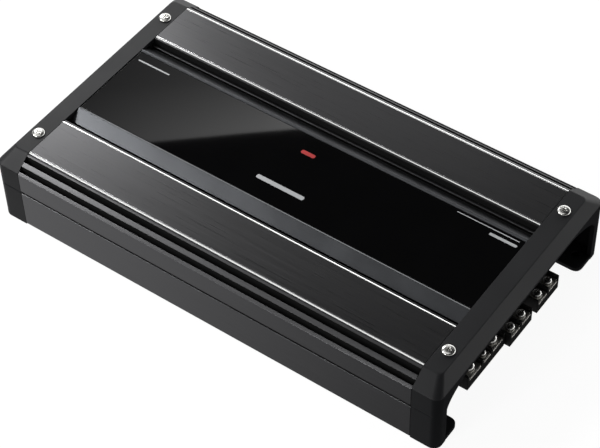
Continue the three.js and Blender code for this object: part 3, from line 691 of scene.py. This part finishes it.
def shoulder_z(y):
    along = (y - SHOULDER_Y) / (WALL_Y - SHOULDER_Y)
    return TOP_Z - SHOULDER_STEP - SHOULDER_FALL * along ** SHOULDER_BEND


def shoulder_run(y_from, y_to, radius):
    """The top of one shoulder fin from its outer edge to its inner one; a groove's wall follows."""
    corners = []
    steps = 4
    for step in range(steps + 1):
        y = y_from + (y_to - y_from) * step / steps
        look = GROOVE_SHADE if step == steps else FIN
        corners.append((y, shoulder_z(y), radius if step in (0, steps) else 0, look))
    return corners


def mirrored_outline(half):
    """The other half of an outline, with each side keeping its look."""
    pairs = list(zip(half, [half[-1], *half]))
    return [(-y, z, radius, before[3]) for (y, z, radius, _), before in reversed(pairs)]


def add_heat_sink():
    plate_bed = PLATE_LOW.z - GAP
    outer = [
        (WALL_Y, SINK_LOW.z, 0.4, SIDE),
        (WALL_Y, 31.0, 0.3, GROOVE_SHADE),
        (WALL_Y - 1.2, 31.0, 0.2, GROOVE_SHADE),
        (WALL_Y - 1.2, 32.8, 0.2, FIN),
        (WALL_Y, 32.8, 0.5, SIDE),
        *shoulder_run(WALL_Y, 98.1, 0.4),
        (98.1, 44.0, 0.4, GROOVE_SHADE),
        (95.3, 44.0, 0.4, GROOVE_SHADE),
        *shoulder_run(95.3, 92.5, 0.3),
        (92.5, 46.0, 0.4, GROOVE_SHADE),
        (89.1, 46.0, 0.4, GROOVE_SHADE),
        *shoulder_run(89.1, SHOULDER_Y, 0.25),
        (SHOULDER_Y, plate_bed, 0, GROOVE_SHADE),
        (PLATE_LOW.y - GAP, plate_bed, 0, GROOVE_SHADE),
        (PLATE_LOW.y - GAP, TOP_Z - 0.5, 0.2, FIN),
        (48.75, TOP_Z - 0.5, 0.2, GROOVE_SHADE),
        (48.75, 49.5, 0, GROOVE_SHADE),
        (48.2, 49.5, 0, GROOVE_SHADE),
        (48.2, 53.5, 0.9, FIN),
        (46.0, 53.5, 0.9, FIN),
        (46.0, 52.3, 0, GROOVE_SHADE),
        (46.0, 49.5, 0, GROOVE_SHADE),
        (45.0, 50.5, 0, GROOVE_SHADE),
    ]
    roof = [(52.0, 46.0), (55.0, 50.0), (84.0, 50.0), (84.0, 18.0), (88.0, 18.0), (88.0, 41.0)]
    ledge = [(96.8, 10.4), (90.0, 10.4), (90.0, 3.9)]
    inner = [
        *((y, z, 0.5, SIDE) for y, z in (*roof, (96.8, 41.0))),
        *((y, z, 0.4, SIDE) for y, z in ledge),
        (97.2, 3.9, 0, SIDE),
        (97.2, SINK_LOW.z, 0.3, SIDE),
    ]
    corners = [*outer, *mirrored_outline(outer), *mirrored_outline(inner), *inner]
    form = extruded(corners, BODY_X0, BODY_X1)
    place(
        form, "heat_sink_extrusion", ["side_brushed", "fin", "groove"], node="heat_sink",
        slot="anodised_aluminium",
    )


FACE, BRIGHT, EDGE = 0, 1, 2


def add_top_plate(node):
    """A brushed plate whose two long edges are turned bright and slightly crowned."""
    low, high = node_box(node)
    at_low, at_high = (1.5, 1.75) if low.y > 0 else (1.75, 1.25)
    drop = 0.42
    corners = [
        (low.y, low.z, 0.2, EDGE),
        (high.y, low.z, 0.2, EDGE),
        (high.y, high.z - drop, 0.12, BRIGHT),
        (high.y - at_high * 0.35, high.z - drop * 0.6, 0, BRIGHT),
        (high.y - at_high, high.z, 0, FACE),
        (low.y + at_low, high.z, 0, BRIGHT),
        (low.y + at_low * 0.35, high.z - drop * 0.25, 0, BRIGHT),
        (low.y, high.z - drop, 0.12, EDGE),
    ]
    form = extruded(corners, low.x, high.x)
    looks = ["top_brushed", "polished", "side_brushed"]
    place(form, node + "_sheet", looks, node=node, slot="brushed_aluminium")


# ---- centre trim, panel and its inlays

PANEL_LOW, PANEL_HIGH = node_box("gloss_panel")


def add_centre_trim():
    low, high = node_box("centre_trim")
    pocket = PANEL_HIGH.y + GAP
    half = [
        (high.y, low.z, 0.3, 0),
        (high.y, 53.6, 0.5, 0),
        (34.9, high.z, 0.35, 0),
        (34.4, high.z, 0.2, 0),
        (pocket, PANEL_HIGH.z, 0.1, 0),
        (pocket, PANEL_LOW.z - GAP, 0, 0),
    ]
    form = extruded([*half, *mirrored_outline(half)], low.x, high.x)
    place(form, "centre_trim_extrusion", ["satin_trim"], node="centre_trim")


def add_panel():
    corners = rectangle(PANEL_LOW, PANEL_HIGH, 0.3)
    form = raised(corners, PANEL_LOW.z, PANEL_HIGH.z, 2)
    place(form, "gloss_panel_sheet", ["gloss_black"], node="gloss_panel", bevel=0.25)


# the middle, length, width, corner radius and look of the plain marks on the panel
INLAYS = {
    "centre": (-0.5, -16.8, 38.0, 3.4, 1.6, "mark_grey"),
    "red": (-2.5, 18.0, 11.0, 3.2, 1.5, "mark_red"),
    "left": (-139.0, 25.5, 27.0, 1.2, 0.5, "mark_grey"),
    "right_long": (130.0, 30.6, 47.0, 0.7, 0.3, "mark_grey"),
    "right_short": (143.8, 26.2, 20.5, 2.2, 1.0, "mark_grey"),
}


def add_inlays():
    """Thin flat inlays with round corners, just clear of the gloss panel."""
    for name, (x, y, length, width, radius, look) in INLAYS.items():
        half = Vector((length / 2, width / 2))
        form = raised(rectangle(-half, half, radius), 0, 0.05)
        moved(form, (x, y, PANEL_HIGH.z + 0.01))
        place(form, "panel_mark_" + name, [look], slot="satin_trim", bevel=0.02, segments=1)


# ---- end caps

CAP_LOW, CAP_HIGH = node_box("output_end_cap")
CAP_HIGH.x -= 0.1
CAP_WALL = 3.0
CORNER = 6.0
TOP_CORNER = 3.6
FOLD_Z = 49.8
CHAMFER_X = 170.2
ARCH_Y = 90.0
ARCH_TOP_Z = 48.0
ARCH_BEND_Y, ARCH_BEND_Z = 86.0, 43.0
ARCH_TURN_Y, ARCH_FOOT_Z = 62.0, 33.0
GROOVE_ROWS = [(31.1, 0.0), (31.6, 0.45), (32.2, 0.45), (32.7, 0.0)]  # height and depth
HALVINGS = 30  # of the range in which a place on the arch is looked for
ARCH_LIP = 0.4
LEG_MIDDLE_Z = 15.0
SLOPE_KEEPS_X, SLOPE_KEEPS_Y = 0.6, 0.4  # the share of an inset that is left on the chamfer
FOOT_INNER_Y = 74.5
FOOT_INSET = 0.3  # between a foot's plate and the outside of its cap
FOOT_THICKNESS = 3.0
FOOT_HOLE_RADIUS = 2.7


def hood_profile():
    """(part of the way up the chamfer, height) from the foot of the fold to the flat top."""
    low, fold = Vector((0, FOLD_Z - 0.45)), Vector((0, FOLD_Z))
    top, end = Vector((1, CAP_HIGH.z)), Vector((1.08, CAP_HIGH.z))
    after_fold = fold.lerp(top, 0.05)
    before_top = fold.lerp(top, 0.945)
    rows = [bend(low, fold, after_fold, step / 3) for step in range(4)]
    rows += [after_fold.lerp(before_top, step / 3) for step in (1, 2)]
    rows += [bend(before_top, top, end, step / 4) for step in range(5)]
    return rows


def hood_columns():
    """The places along the end wall, from the front seam round to the rear one.

    Each is (kind, value, side): along a side as a part, round a corner as an angle, or across the
    end as y; side is -1 at the front and 1 at the rear.
    """
    rear = [("side", part) for part in (0.0, 0.5, 1.0)]
    rear += [("corner", angle) for angle in (11, 22.5, 34, 45, 56, 67.5, 79, 90)]
    rear += [("end", bend(ARCH_Y, ARCH_BEND_Y, ARCH_TURN_Y, step / 14)) for step in range(15)]
    rear += [("end", y) for y in (45.0, 25.0)]
    front = [(kind, value, -1) for kind, value in rear]
    back = [(kind, value, 1) for kind, value in reversed(rear)]
    return [*front, ("end", 0.0, 1), *back]


def hood_point(column, part, z, inset=0.0):
    """A point of the hood: part of the way up its chamfer, at height z, moved in by an inset."""
    kind, value, side = column
    on_slope = min(part, 1.0)
    inset_x = inset * (1 - (1 - SLOPE_KEEPS_X) * on_slope)
    inset_y = inset * (1 - (1 - SLOPE_KEEPS_Y) * on_slope)
    half_x = CAP_HIGH.x - part * (CAP_HIGH.x - CHAMFER_X) - inset_x
    half_y = CAP_HIGH.y - part * (CAP_HIGH.y - SHOULDER_Y) - inset_y
    radius = CORNER + part * (TOP_CORNER - CORNER) - inset
    if kind == "side":
        return Vector((CAP_LOW.x + value * (half_x - radius - CAP_LOW.x), side * half_y, z))
    if kind == "corner":
        angle = math.radians(value)
        x = half_x - radius + radius * math.sin(angle)
        return Vector((x, side * (half_y - radius + radius * math.cos(angle)), z))
    y = value * (half_y - radius) / (CAP_HIGH.y - CORNER)
    return Vector((half_x, side * y, z))


def arch_z(y):
    """The height of the arch's edge at a distance y from the middle."""
    if y <= ARCH_TURN_Y:
        return ARCH_TOP_Z
    low, high = 0.0, 1.0
    for _ in range(HALVINGS):
        part = (low + high) / 2
        if bend(ARCH_Y, ARCH_BEND_Y, ARCH_TURN_Y, part) > y:
            low = part
        else:
            high = part
    return bend(ARCH_FOOT_Z, ARCH_BEND_Z, ARCH_TOP_Z, low)


def hood_rows(column, wall):
    """The points of a column from the floor or the arch's edge up to the flat top.

    None stands for a point that the arch leaves out.
    """
    kind, value, _ = column
    leg_rows = [(0.0, 0.0), (LEG_MIDDLE_Z, 0.0), *GROOVE_ROWS, (ARCH_FOOT_Z, 0.0)]
    if kind != "end" or value >= ARCH_Y:
        base = ARCH_FOOT_Z
        depths = [(z, depth if kind == "side" else 0) for z, depth in leg_rows]
        points = [hood_point(column, 0, z, wall or depth) for z, depth in depths]
    else:
        base = arch_z(abs(hood_point(column, 0, 0).y))
        points = [None] * (len(leg_rows) - 1) + [hood_point(column, 0, base, wall)]
    points.append(hood_point(column, 0, base + ARCH_LIP, wall))
    for part, z in hood_profile():
        height = max(z, base + 2 * ARCH_LIP) if part == 0 else z
        sink = wall * min(1.0, part / 0.3)
        points.append(hood_point(column, part, height - sink, wall))
    return points


def build_hood():
    """The hood with its wall: an outer and an inner skin joined along their edges."""
    form = bmesh.new()
    skins = []
    for wall in (0.0, CAP_WALL):
        columns = [hood_rows(column, wall) for column in hood_columns()]
        skins.append([[point and form.verts.new(point) for point in rows] for rows in columns])
    partner = {}
    for columns in zip(*skins):
        partner.update(zip(*columns))
    faces = []
    outer = skins[0]
    for first, second in zip(outer, outer[1:]):
        for row in range(len(first) - 1):
            corners = (first[row], second[row], second[row + 1], first[row + 1])
            if None not in corners:
                faces.append(corners)
    faces.append([rows[-1] for rows in outer])
    for corners in faces:
        form.faces.new(corners)
    for edge in [edge for edge in form.edges if len(edge.link_faces) == 1]:
        first, second = edge.verts
        form.faces.new((first, second, partner[second], partner[first]))
    for corners in faces:
        form.faces.new([partner[vertex] for vertex in reversed(corners)])
    bmesh.ops.recalc_face_normals(form, faces=form.faces)
    return form


def build_foot():
    """The rear mounting foot: a plate between the legs' walls with a hole through it."""
    outer_x = CAP_HIGH.x - FOOT_INSET
    outer_y = CAP_HIGH.y - FOOT_INSET
    corners = [
        (CAP_LOW.x, FOOT_INNER_Y, 0.3),
        (outer_x, FOOT_INNER_Y, 6.0),
        (outer_x, outer_y, CORNER - FOOT_INSET),
        (CAP_LOW.x, outer_y, 0.3),
    ]
    plate = raised(corners, CAP_LOW.z, CAP_LOW.z + FOOT_THICKNESS, 10)
    hole = cylinder((FOOT_HOLE_X, FOOT_HOLE_Y), FOOT_HOLE_RADIUS, -1, FOOT_THICKNESS + 2)
    return carved(plate, hole)


def build_rim():
    """The hood's rim behind the rear shoulder, which closes the heat sink's grooves."""
    corners = [(96.8, 42.0), (96.8, 48.2), (86.6, 55.3), (84.4, 55.3), (96.6, 43.6)]
    return extruded([(y, z, 0, 0) for y, z in corners], CAP_LOW.x + 0.1, CAP_LOW.x + 1.5)


def add_cap(node, mirror=False):
    feet = [build_foot(), flipped(build_foot(), "Y")]
    rims = [build_rim(), flipped(build_rim(), "Y")]
    form = joined(build_hood(), *feet, *rims)
    if mirror:
        form = flipped(form, "X")
    place(form, node + "_hood", ["cap_paint"], node=node, bevel=0.45, segments=3, sharp=50)


# ---- screws

PITCH = 0.8


def build_screw(radius, height, shank_radius, shank_length):
    """A domed head with a cross recess, and its threaded shank below it."""
    outline = [(0, -shank_length), (shank_radius * 0.7, -shank_length)]
    root = shank_radius * 0.84
    for turn in range(int((shank_length - 1.2) / PITCH)):
        z = -shank_length + 0.4 + turn * PITCH
        outline += [(root, z), (shank_radius, z + PITCH / 2)]
    outline += [(root, -0.5), (root, -0.02)]
    rim = height * 0.42
    dome = radius * 0.985
    outline += [(radius * 0.96, 0), (radius, height * 0.08), (radius, rim * 0.8), (dome, rim)]
    for step in range(1, 8):
        angle = math.radians(12 + step * 78 / 8)
        outline.append((dome * math.cos(angle) ** 0.8, rim + (height - rim) * math.sin(angle)))
    outline.append((0, height))
    cross = [
        cross_arm(radius * 0.6, radius * 0.115, height * 0.3, height + 1, degrees)
        for degrees in (0, 90)
    ]
    return carved(lathed(outline), *cross)


def cross_arm(length, thin, z0, z1, degrees):
    """One arm of a cross recess, narrower at its foot."""
    form = box((-length, -thin, z0), (length, thin, z1))
    for vertex in form.verts:
        if vertex.co.z < (z0 + z1) / 2:
            vertex.co.x *= 0.45
    return turned(form, degrees, "Z")


# degrees about X that lay a screw with its head towards each direction
SCREW_TURNS = {"Z": 0, "-Z": 180, "Y": -90, "-Y": 90}


def add_screw(node, body="root", up="Z"):
    """A screw in a CAD screw's box, its head at the box's end towards up."""
    low, high = node_box(node)
    height, shank_radius = SCREW_SIZES[kind_of(node)]
    axis = "XYZ".index(up[-1])
    length = high[axis] - low[axis]
    form = build_screw((high.x - low.x) / 2, height, shank_radius, length - height)
    seat = node_middle(node)
    seat[axis] = low[axis] + height if up.startswith("-") else high[axis] - height
    moved(turned(form, SCREW_TURNS[up], "X"), seat)
    place(form, node + "_piece", ["nickel"], body, node, bevel=0.08, sharp=50)


# the height of each kind of screw's head and the radius of its shank
SCREW_SIZES = {
    "cap": (1.8, 1.8),
    "cover": (1.3, 1.6),
    "speaker": (2.6, 1.7),
    "battery": (3.2, 2.1),
    "ground": (3.2, 2.1),
    "remote": (2.4, 1.35),
    "transistor": (1.8, 1.5),
}


def kind_of(name):
    return name.split("_")[0]


def add_screws():
    for index in range(1, 5):
        add_screw(f"cap_screw_{index}")
        add_screw(f"cover_screw_{index}", up="-Z")
    for labels in TERMINALS.values():
        for label in labels:
            add_screw(f"{label}_screw", f"{label}_turn")
    add_screw("transistor_clamp_screw_front", up="Y")
    add_screw("transistor_clamp_screw_rear", up="-Y")


# ---- terminals

BAY_FLOOR_Z = 20.6
BAY_TOP_Z = 40.0
CONTACT = 1.0  # the thickness of the plate that lies in the bay's floor
SHANK_GAP = 0.3
RIDGES = (-2.4, 0, 2.4)  # where the grooves under a clamp plate run

TERMINALS = {
    "speaker_block_front": ("speaker_1", "speaker_2"),
    "speaker_block_rear": ("speaker_3", "speaker_4"),
    "power_block": ("battery", "remote", "ground"),
}
# half the width of each kind of terminal's bay and the place of its back wall
BAYS = {
    "speaker": (5.65, 163.5),
    "battery": (7.5, 159.9),
    "remote": (4.7, 159.9),
    "ground": (6.4, 159.9),
}


def screw_hole(label, gap, z0, z1):
    """What a terminal's screw needs to be cut from a form, with a gap round its shank."""
    middle = node_middle(f"{label}_screw")
    return cylinder(middle.xy, SCREW_SIZES[kind_of(label)][1] + gap, z0, z1)


def terminal_cuts(label, half, back_x, front_x):
    """What a terminal cuts from its block: the bay, the contact's bed and the screw's hole."""
    x = node_middle(f"{label}_screw").x
    y = node_middle(f"{label}_clamp").y
    bed = half - 0.5
    above = BAY_FLOOR_Z + 1
    foot = node_box(f"{label}_screw")[0].z - SHANK_GAP
    return [
        box((back_x, y - half, BAY_FLOOR_Z), (front_x + 1, y + half, BAY_TOP_Z)),
        box((x - 5.6, y - bed, BAY_FLOOR_Z - CONTACT), (front_x + 1, y + bed, above)),
        screw_hole(label, SHANK_GAP + 0.05, foot, above),
    ]


def add_contact(label, bay_half, front_x):
    """The plate in a bay's floor that the wire is pressed on."""
    x, y = node_middle(f"{label}_screw").xy
    half = bay_half - 0.6
    plate = box(
        (x - 5.5, y - half, BAY_FLOOR_Z - CONTACT + 0.05),
        (front_x - 0.15, y + half, BAY_FLOOR_Z - 0.05),
    )
    form = carved(plate, screw_hole(label, SHANK_GAP, 10, 30))
    place(form, f"{label}_contact", ["tin"], slot="nickel", bevel=0.2)


def add_clamp(label):
    """The plate under a terminal's screw, with shallow grooves that grip the wire."""
    node = f"{label}_clamp"
    low, high = node_box(node)
    y = node_middle(node).y
    plate = raised(rectangle(low, high, 0.8), low.z, high.z, 3)
    cuts = [screw_hole(label, SHANK_GAP, low.z - 1, high.z + 1)]
    for shift in RIDGES:
        start, end = y + shift - 0.35, y + shift + 0.35
        cuts.append(box((low.x - 1, start, low.z - 1), (high.x + 1, end, low.z + 0.25)))
    form = carved(plate, *cuts)
    place(form, node + "_plate", ["tin"], f"{label}_lift", node, "nickel", bevel=0.22)


def add_terminal_block(node, labels):
    low, high = node_box(node)
    form = box(low, high)
    cuts = []
    for label in labels:
        half, back_x = BAYS[kind_of(label)]
        cuts += terminal_cuts(label, half, back_x, high.x)
        add_contact(label, half, high.x)
        add_clamp(label)
    place(carved(form, *cuts), node + "_moulding", ["black_plastic"], node=node, bevel=0.3)


def add_terminals():
    for node, labels in TERMINALS.items():
        add_terminal_block(node, labels)


# ---- jacks, controls and fuses

# These forms are built at the output end and turned over to the input end.

BLOCK_INNER_X = 141.0
PANEL_FACE_X = 158.8
KNOB_Z = 30.0
KNOB_REACH = 3.55
SWITCH_Z = 18.5
SWITCH_TRAVEL = 3.0
SWITCH_HALF = 1.5
LAMP_Z = 36.0
LAMP_RADIUS = 1.5
JACK_HALF = 7.5
JACK_INNER_X = 158.3
JACK_ROWS = ((34.5, "white_plastic"), (20.5, "red_plastic"))
KNOBS = {
    "gain_knob_1": -24.0, "crossover_knob_1": -10.0, "crossover_knob_2": 10.0, "gain_knob_2": 24.0,
}
SWITCHES = {"filter_switch_1": -18.5, "filter_switch_2": 15.5}
INK = 0.06  # the thickness of the printed ticks

# outlines of (radius, length) from axis to axis
SLEEVE = (
    (0, 0), (4.2, 0), (4.2, 11.0), (4.0, 11.6), (3.6, 11.7), (3.4, 11.3), (3.35, 1.2), (0, 1.2),
)
INSULATOR = (
    (0, 1.3), (3.25, 1.3), (3.25, 9.6), (3.0, 9.9), (2.1, 9.9), (1.75, 9.5), (1.7, 2.0), (0, 2.0),
)
KNOB = (
    (0, 0), (3.1, 0), (3.1, 13.3), (2.8, 13.5), (2.8, 13.9), (3.1, 14.1), (3.2, 14.4), (3.2, 17.3),
    (3.0, 17.8), (2.6, 18.0), (0, 18.0),
)


def along_x(form, x, y, z):
    """A form turned about Z, laid along X with its start at x."""
    return moved(turned(form, 90, "Y"), (x, y, z))


def at_input(form, name, looks, *riding, **edges):
    place(flipped(form, "X"), name, looks, *riding, **edges)


def input_box(node):
    """A CAD node's box at the input end, turned over to the output end."""
    low, high = node_box(node)
    return box((-high.x, low.y, low.z), (-low.x, high.y, high.z))


def add_jack_block(number, y):
    moulding = box((BLOCK_INNER_X, y - JACK_HALF, 12.6), (160, y + JACK_HALF, 42))
    cuts = [box((157, y - JACK_HALF - 1, 27), (161, y + JACK_HALF + 1, 28))]
    for row, (z, tint) in enumerate(JACK_ROWS, 1):
        cuts.append(along_x(cylinder((0, 0), 4.3, 0, 6), JACK_INNER_X - 0.1, y, z))
        key = f"rca_{number}_{row}"
        sleeve, insulator = [
            along_x(lathed(outline), JACK_INNER_X, y, z) for outline in (SLEEVE, INSULATOR)
        ]
        at_input(sleeve, key + "_sleeve", ["nickel"], sharp=35)
        at_input(insulator, key + "_insulator", [tint], slot="black_plastic", sharp=35)
    node = f"rca_block_{number}"
    form = carved(moulding, *cuts)
    at_input(form, node + "_moulding", ["black_plastic"], node=node, bevel=0.4)


def add_knob(name, y):
    """A knob with a fluted rim and a screwdriver slot across its end."""
    knob = lathed(KNOB, 48)
    for vertex in knob.verts:
        if 14.3 < vertex.co.z < 17.4:
            angle = math.degrees(math.atan2(vertex.co.y, vertex.co.x))
            if round(angle / 7.5) % 4 == 0:
                vertex.co.x *= 0.94
                vertex.co.y *= 0.94
    slot = box((-0.5, -4, 16.8), (0.5, 4, 19))
    form = along_x(carved(knob, turned(slot, 90, "Z")), 146, y, KNOB_Z)
    at_input(form, name + "_piece", ["black_plastic"], name, name, bevel=0.08, sharp=50)


def switch_hole(y, x0, x1):
    start, end = y - SWITCH_HALF - 0.3, y + SWITCH_HALF + SWITCH_TRAVEL + 0.3
    return box((x0, start, SWITCH_Z - 2.0), (x1, end, SWITCH_Z + 2.0))


def add_switch(name, y):
    """A slide switch's nib with grip grooves across its end."""
    nib = bar(150, 161.5, y, SWITCH_HALF, SWITCH_Z, 1.7)
    grooves = [bar(161.1, 162, y + shift, 0.17, SWITCH_Z, 2) for shift in (-0.75, 0.0, 0.75)]
    at_input(carved(nib, *grooves), name + "_piece", ["nickel"], name, name, bevel=0.12)


def add_control_block():
    cuts = [along_x(cylinder((0, 0), KNOB_REACH, 0, 20), 145.7, y, KNOB_Z) for y in KNOBS.values()]
    cuts += [switch_hole(y, 149.7, 170) for y in SWITCHES.values()]
    cuts.append(along_x(cylinder((0, 0), LAMP_RADIUS + 0.3, 0, 20), 149.7, 0, LAMP_Z))
    node = "control_block"
    form = carved(input_box(node), *cuts)
    at_input(form, node + "_moulding", ["black_plastic"], node=node, bevel=0.3)


def add_ticks():
    """Printed ticks round the knobs and under the switches, proud of the panel by a coat of ink."""
    marks = []
    for y in KNOBS.values():
        for angle in range(-135, 136, 45):
            mark = box((PANEL_FACE_X, -0.2, 4.3), (PANEL_FACE_X + INK, 0.2, 5.6))
            marks.append(moved(turned(mark, angle, "X"), (0, y, KNOB_Z)))
    for at_rest in SWITCHES.values():
        for y in (at_rest, at_rest + SWITCH_TRAVEL):
            marks.append(box((PANEL_FACE_X, y - 0.2, 14.3), (PANEL_FACE_X + INK, y + 0.2, 15.6)))
    at_input(joined(*marks), "control_ticks", ["mark_grey"], slot="satin_trim")


def add_lamp():
    radius, neck = LAMP_RADIUS, 9.2
    dome = [(radius * math.cos(at), neck + math.sin(at)) for at in (0.35, 0.7, 1.05, 1.35)]
    outline = [(0, 0), (radius, 0), (radius, neck), *dome, (0, neck + 1)]
    form = along_x(lathed(outline, 24), 150, 0, LAMP_Z)
    at_input(form, "power_lamp_lens", ["lamp_lens"], node="power_lamp")


FUSE_Y = 55.0
BLADES_Y = (FUSE_Y - 6, FUSE_Y + 6)
FUSES = {"fuse_1": 19.5, "fuse_2": 29.0}


def add_fuse(name, z):
    """A plug-in fuse: a stepped translucent body and two blades with tapered tips."""
    head = bar(162.6, 167, FUSE_Y, 9.5, z, 2.5)
    foot = bar(157.5, 163, FUSE_Y, 8.8, z, 2.1)
    windows = [bar(165.9, 168, FUSE_Y + shift, 1.5, z, 1.4) for shift in (-2.7, -6.7, 2.7, 6.7)]
    body = carved(combined(head, [foot], "UNION"), *windows)
    blades = []
    for y in BLADES_Y:
        blade = bar(146, 157.6, y, 2.5, z, 0.4)
        for vertex in blade.verts:
            if vertex.co.x < 147:
                vertex.co.y = y + (vertex.co.y - y) * 0.75
                vertex.co.z = z + (vertex.co.z - z) * 0.5
        blades.append(painted_as(blade, 1))
    form = joined(body, *blades)
    at_input(form, name + "_piece", ["fuse_plastic", "nickel"], name, name, bevel=0.25)


def add_fuse_holder():
    node = "fuse_holder"
    low, high = node_box(node)
    cuts = []
    for z in FUSES.values():
        cuts.append(bar(157, 162, FUSE_Y, 9.8, z, 2.8))
        cuts += [bar(145.7, 158.5, y, 2.8, z, 0.7) for y in BLADES_Y]
    # a notch for fingers across both fuses
    cuts.append(box((159.6, FUSE_Y - 4, low.z + 0.8), (162, FUSE_Y + 4, high.z - 0.8)))
    form = carved(input_box(node), *cuts)
    at_input(form, node + "_moulding", ["black_plastic"], node=node, bevel=0.35)


def add_input_end():
    for number, y in ((1, -60.0), (2, -42.0)):
        add_jack_block(number, y)
    for name, y in KNOBS.items():
        add_knob(name, y)
    for name, y in SWITCHES.items():
        add_switch(name, y)
    add_control_block()
    add_ticks()
    add_lamp()
    for name, z in FUSES.items():
        add_fuse(name, z)
    add_fuse_holder()


# ---- inside the body

LEG_PITCH = 5.4
BOARD_TOP_Z = 12.5


def add_transformer():
    """A wound ring: the winding's turns show as ridges round the core."""
    low, high = node_box("power_transformer")
    middle = node_middle("power_transformer")
    outer, inner, height, rounding = 23.0, 8.0, high.z - low.z, 4.0
    turns = 96
    profile = []
    for centre_r, centre_z, start in (
        (outer - rounding, rounding, -90), (outer - rounding, height - rounding, 0),
        (inner + rounding, height - rounding, 90), (inner + rounding, rounding, 180),
    ):
        for step in range(5):
            angle = math.radians(start + step * 22.5)
            profile.append((centre_r, centre_z, math.cos(angle), math.sin(angle)))
    form = bmesh.new()
    rings = []
    for section in range(turns * 2):
        sink = 0.05 if section % 2 else 0.6
        angle = math.pi * section / turns
        ring = []
        for centre_r, centre_z, out, up in profile:
            r = centre_r + out * (rounding - sink)
            x, y = middle.x + r * math.cos(angle), middle.y + r * math.sin(angle)
            ring.append(form.verts.new((x, y, low.z + centre_z + up * (rounding - sink))))
        rings.append(ring)
    for first, second in zip(rings, [*rings[1:], rings[0]]):
        for index in range(len(profile)):
            after = (index + 1) % len(profile)
            form.faces.new((first[index], second[index], second[after], first[after]))
    bmesh.ops.recalc_face_normals(form, faces=form.faces)
    place(form, "power_transformer_winding", ["copper"], node="power_transformer", sharp=180)


def add_capacitor(node):
    """A can in its sleeve, crimped near the foot, with a scored metal top."""
    low, high = node_box(node)
    middle = node_middle(node)
    radius = (high.x - low.x) / 2
    height = high.z - low.z
    outline = [
        (0, 0), (radius - 0.7, 0), (radius, 0.7), (radius, 3.0), (radius - 0.9, 3.8), (radius, 4.6),
        (radius, height - 0.9), (radius - 0.3, height - 0.3), (radius - 1.0, height),
        (radius - 1.6, height - 0.1), (radius - 1.8, height - 0.5), (0, height - 0.5),
    ]
    can = lathed(outline, 56)
    for face in can.faces:
        corners = [vertex.co for vertex in face.verts]
        if all(at.z > height - 0.7 and at.xy.length < radius - 1.5 for at in corners):
            face.material_index = 1
    score = []
    for angle in (0, 90):
        line = box((-radius * 0.6, -0.3, height - 0.8), (radius * 0.6, 0.3, height))
        score.append(painted_as(turned(line, angle, "Z"), 1))
    form = moved(carved(can, *score), (middle.x, middle.y, low.z))
    looks = ["capacitor_sleeve", "nickel"]
    place(form, node + "_can", looks, node=node, bevel=0.12, sharp=50)


def add_transistor(node):
    """A moulded power transistor with a hole through its case and three legs to the board."""
    low, high = node_box(node)
    middle = node_middle(node)
    hole = turned(cylinder((0, 0), 1.8, -5, 5, 24), 90, "X")
    cuts = [moved(hole, (middle.x, middle.y, high.z - 4.5))]
    for x in (low.x, high.x):
        cuts.append(box((x - 0.9, low.y - 1, high.z - 7), (x + 0.9, high.y + 1, high.z - 4)))
    body = carved(box(low, high), *cuts)
    legs = []
    for x in (middle.x - LEG_PITCH, middle.x, middle.x + LEG_PITCH):
        leg = box((x - 0.6, middle.y - 0.3, BOARD_TOP_Z), (x + 0.6, middle.y + 0.3, low.z + 0.1))
        legs.append(painted_as(leg, 1))
    form = joined(body, *legs)
    place(form, node + "_case", ["black_plastic", "nickel"], node=node, bevel=0.2)


def add_inside():
    add_transformer()
    for index in (1, 2):
        add_capacitor(f"capacitor_{index}")
    for index in range(1, 5):
        add_transistor(f"transistor_{index}")


# ---- kept CAD nodes

SLOTS_TO_LOOKS = {
    "brushed_aluminium": "top_brushed",
    "anodised_aluminium": "side_brushed",
}


def keep_cad():
    """The CAD nodes that nothing replaces keep their shape, with rounded edges and a finish."""
    for part in frame["record"]["subparts"]:
        node = frame["nodes"][part["node"]]
        slot = part["material_slot"]
        node.data.materials.clear()
        node.data.materials.append(LOOKS[SLOTS_TO_LOOKS.get(slot, slot)])
        if node.hide_render:
            continue
        add_bevel(node, 0.25)


standard_view()
add_camera()
add_floor()
add_world()
add_lights()
add_heat_sink()
add_top_plate("top_plate_front")
add_top_plate("top_plate_rear")
add_centre_trim()
add_panel()
add_inlays()
add_cap("output_end_cap")
add_cap("input_end_cap", mirror=True)
add_screws()
add_terminals()
add_input_end()
add_inside()
keep_cad()
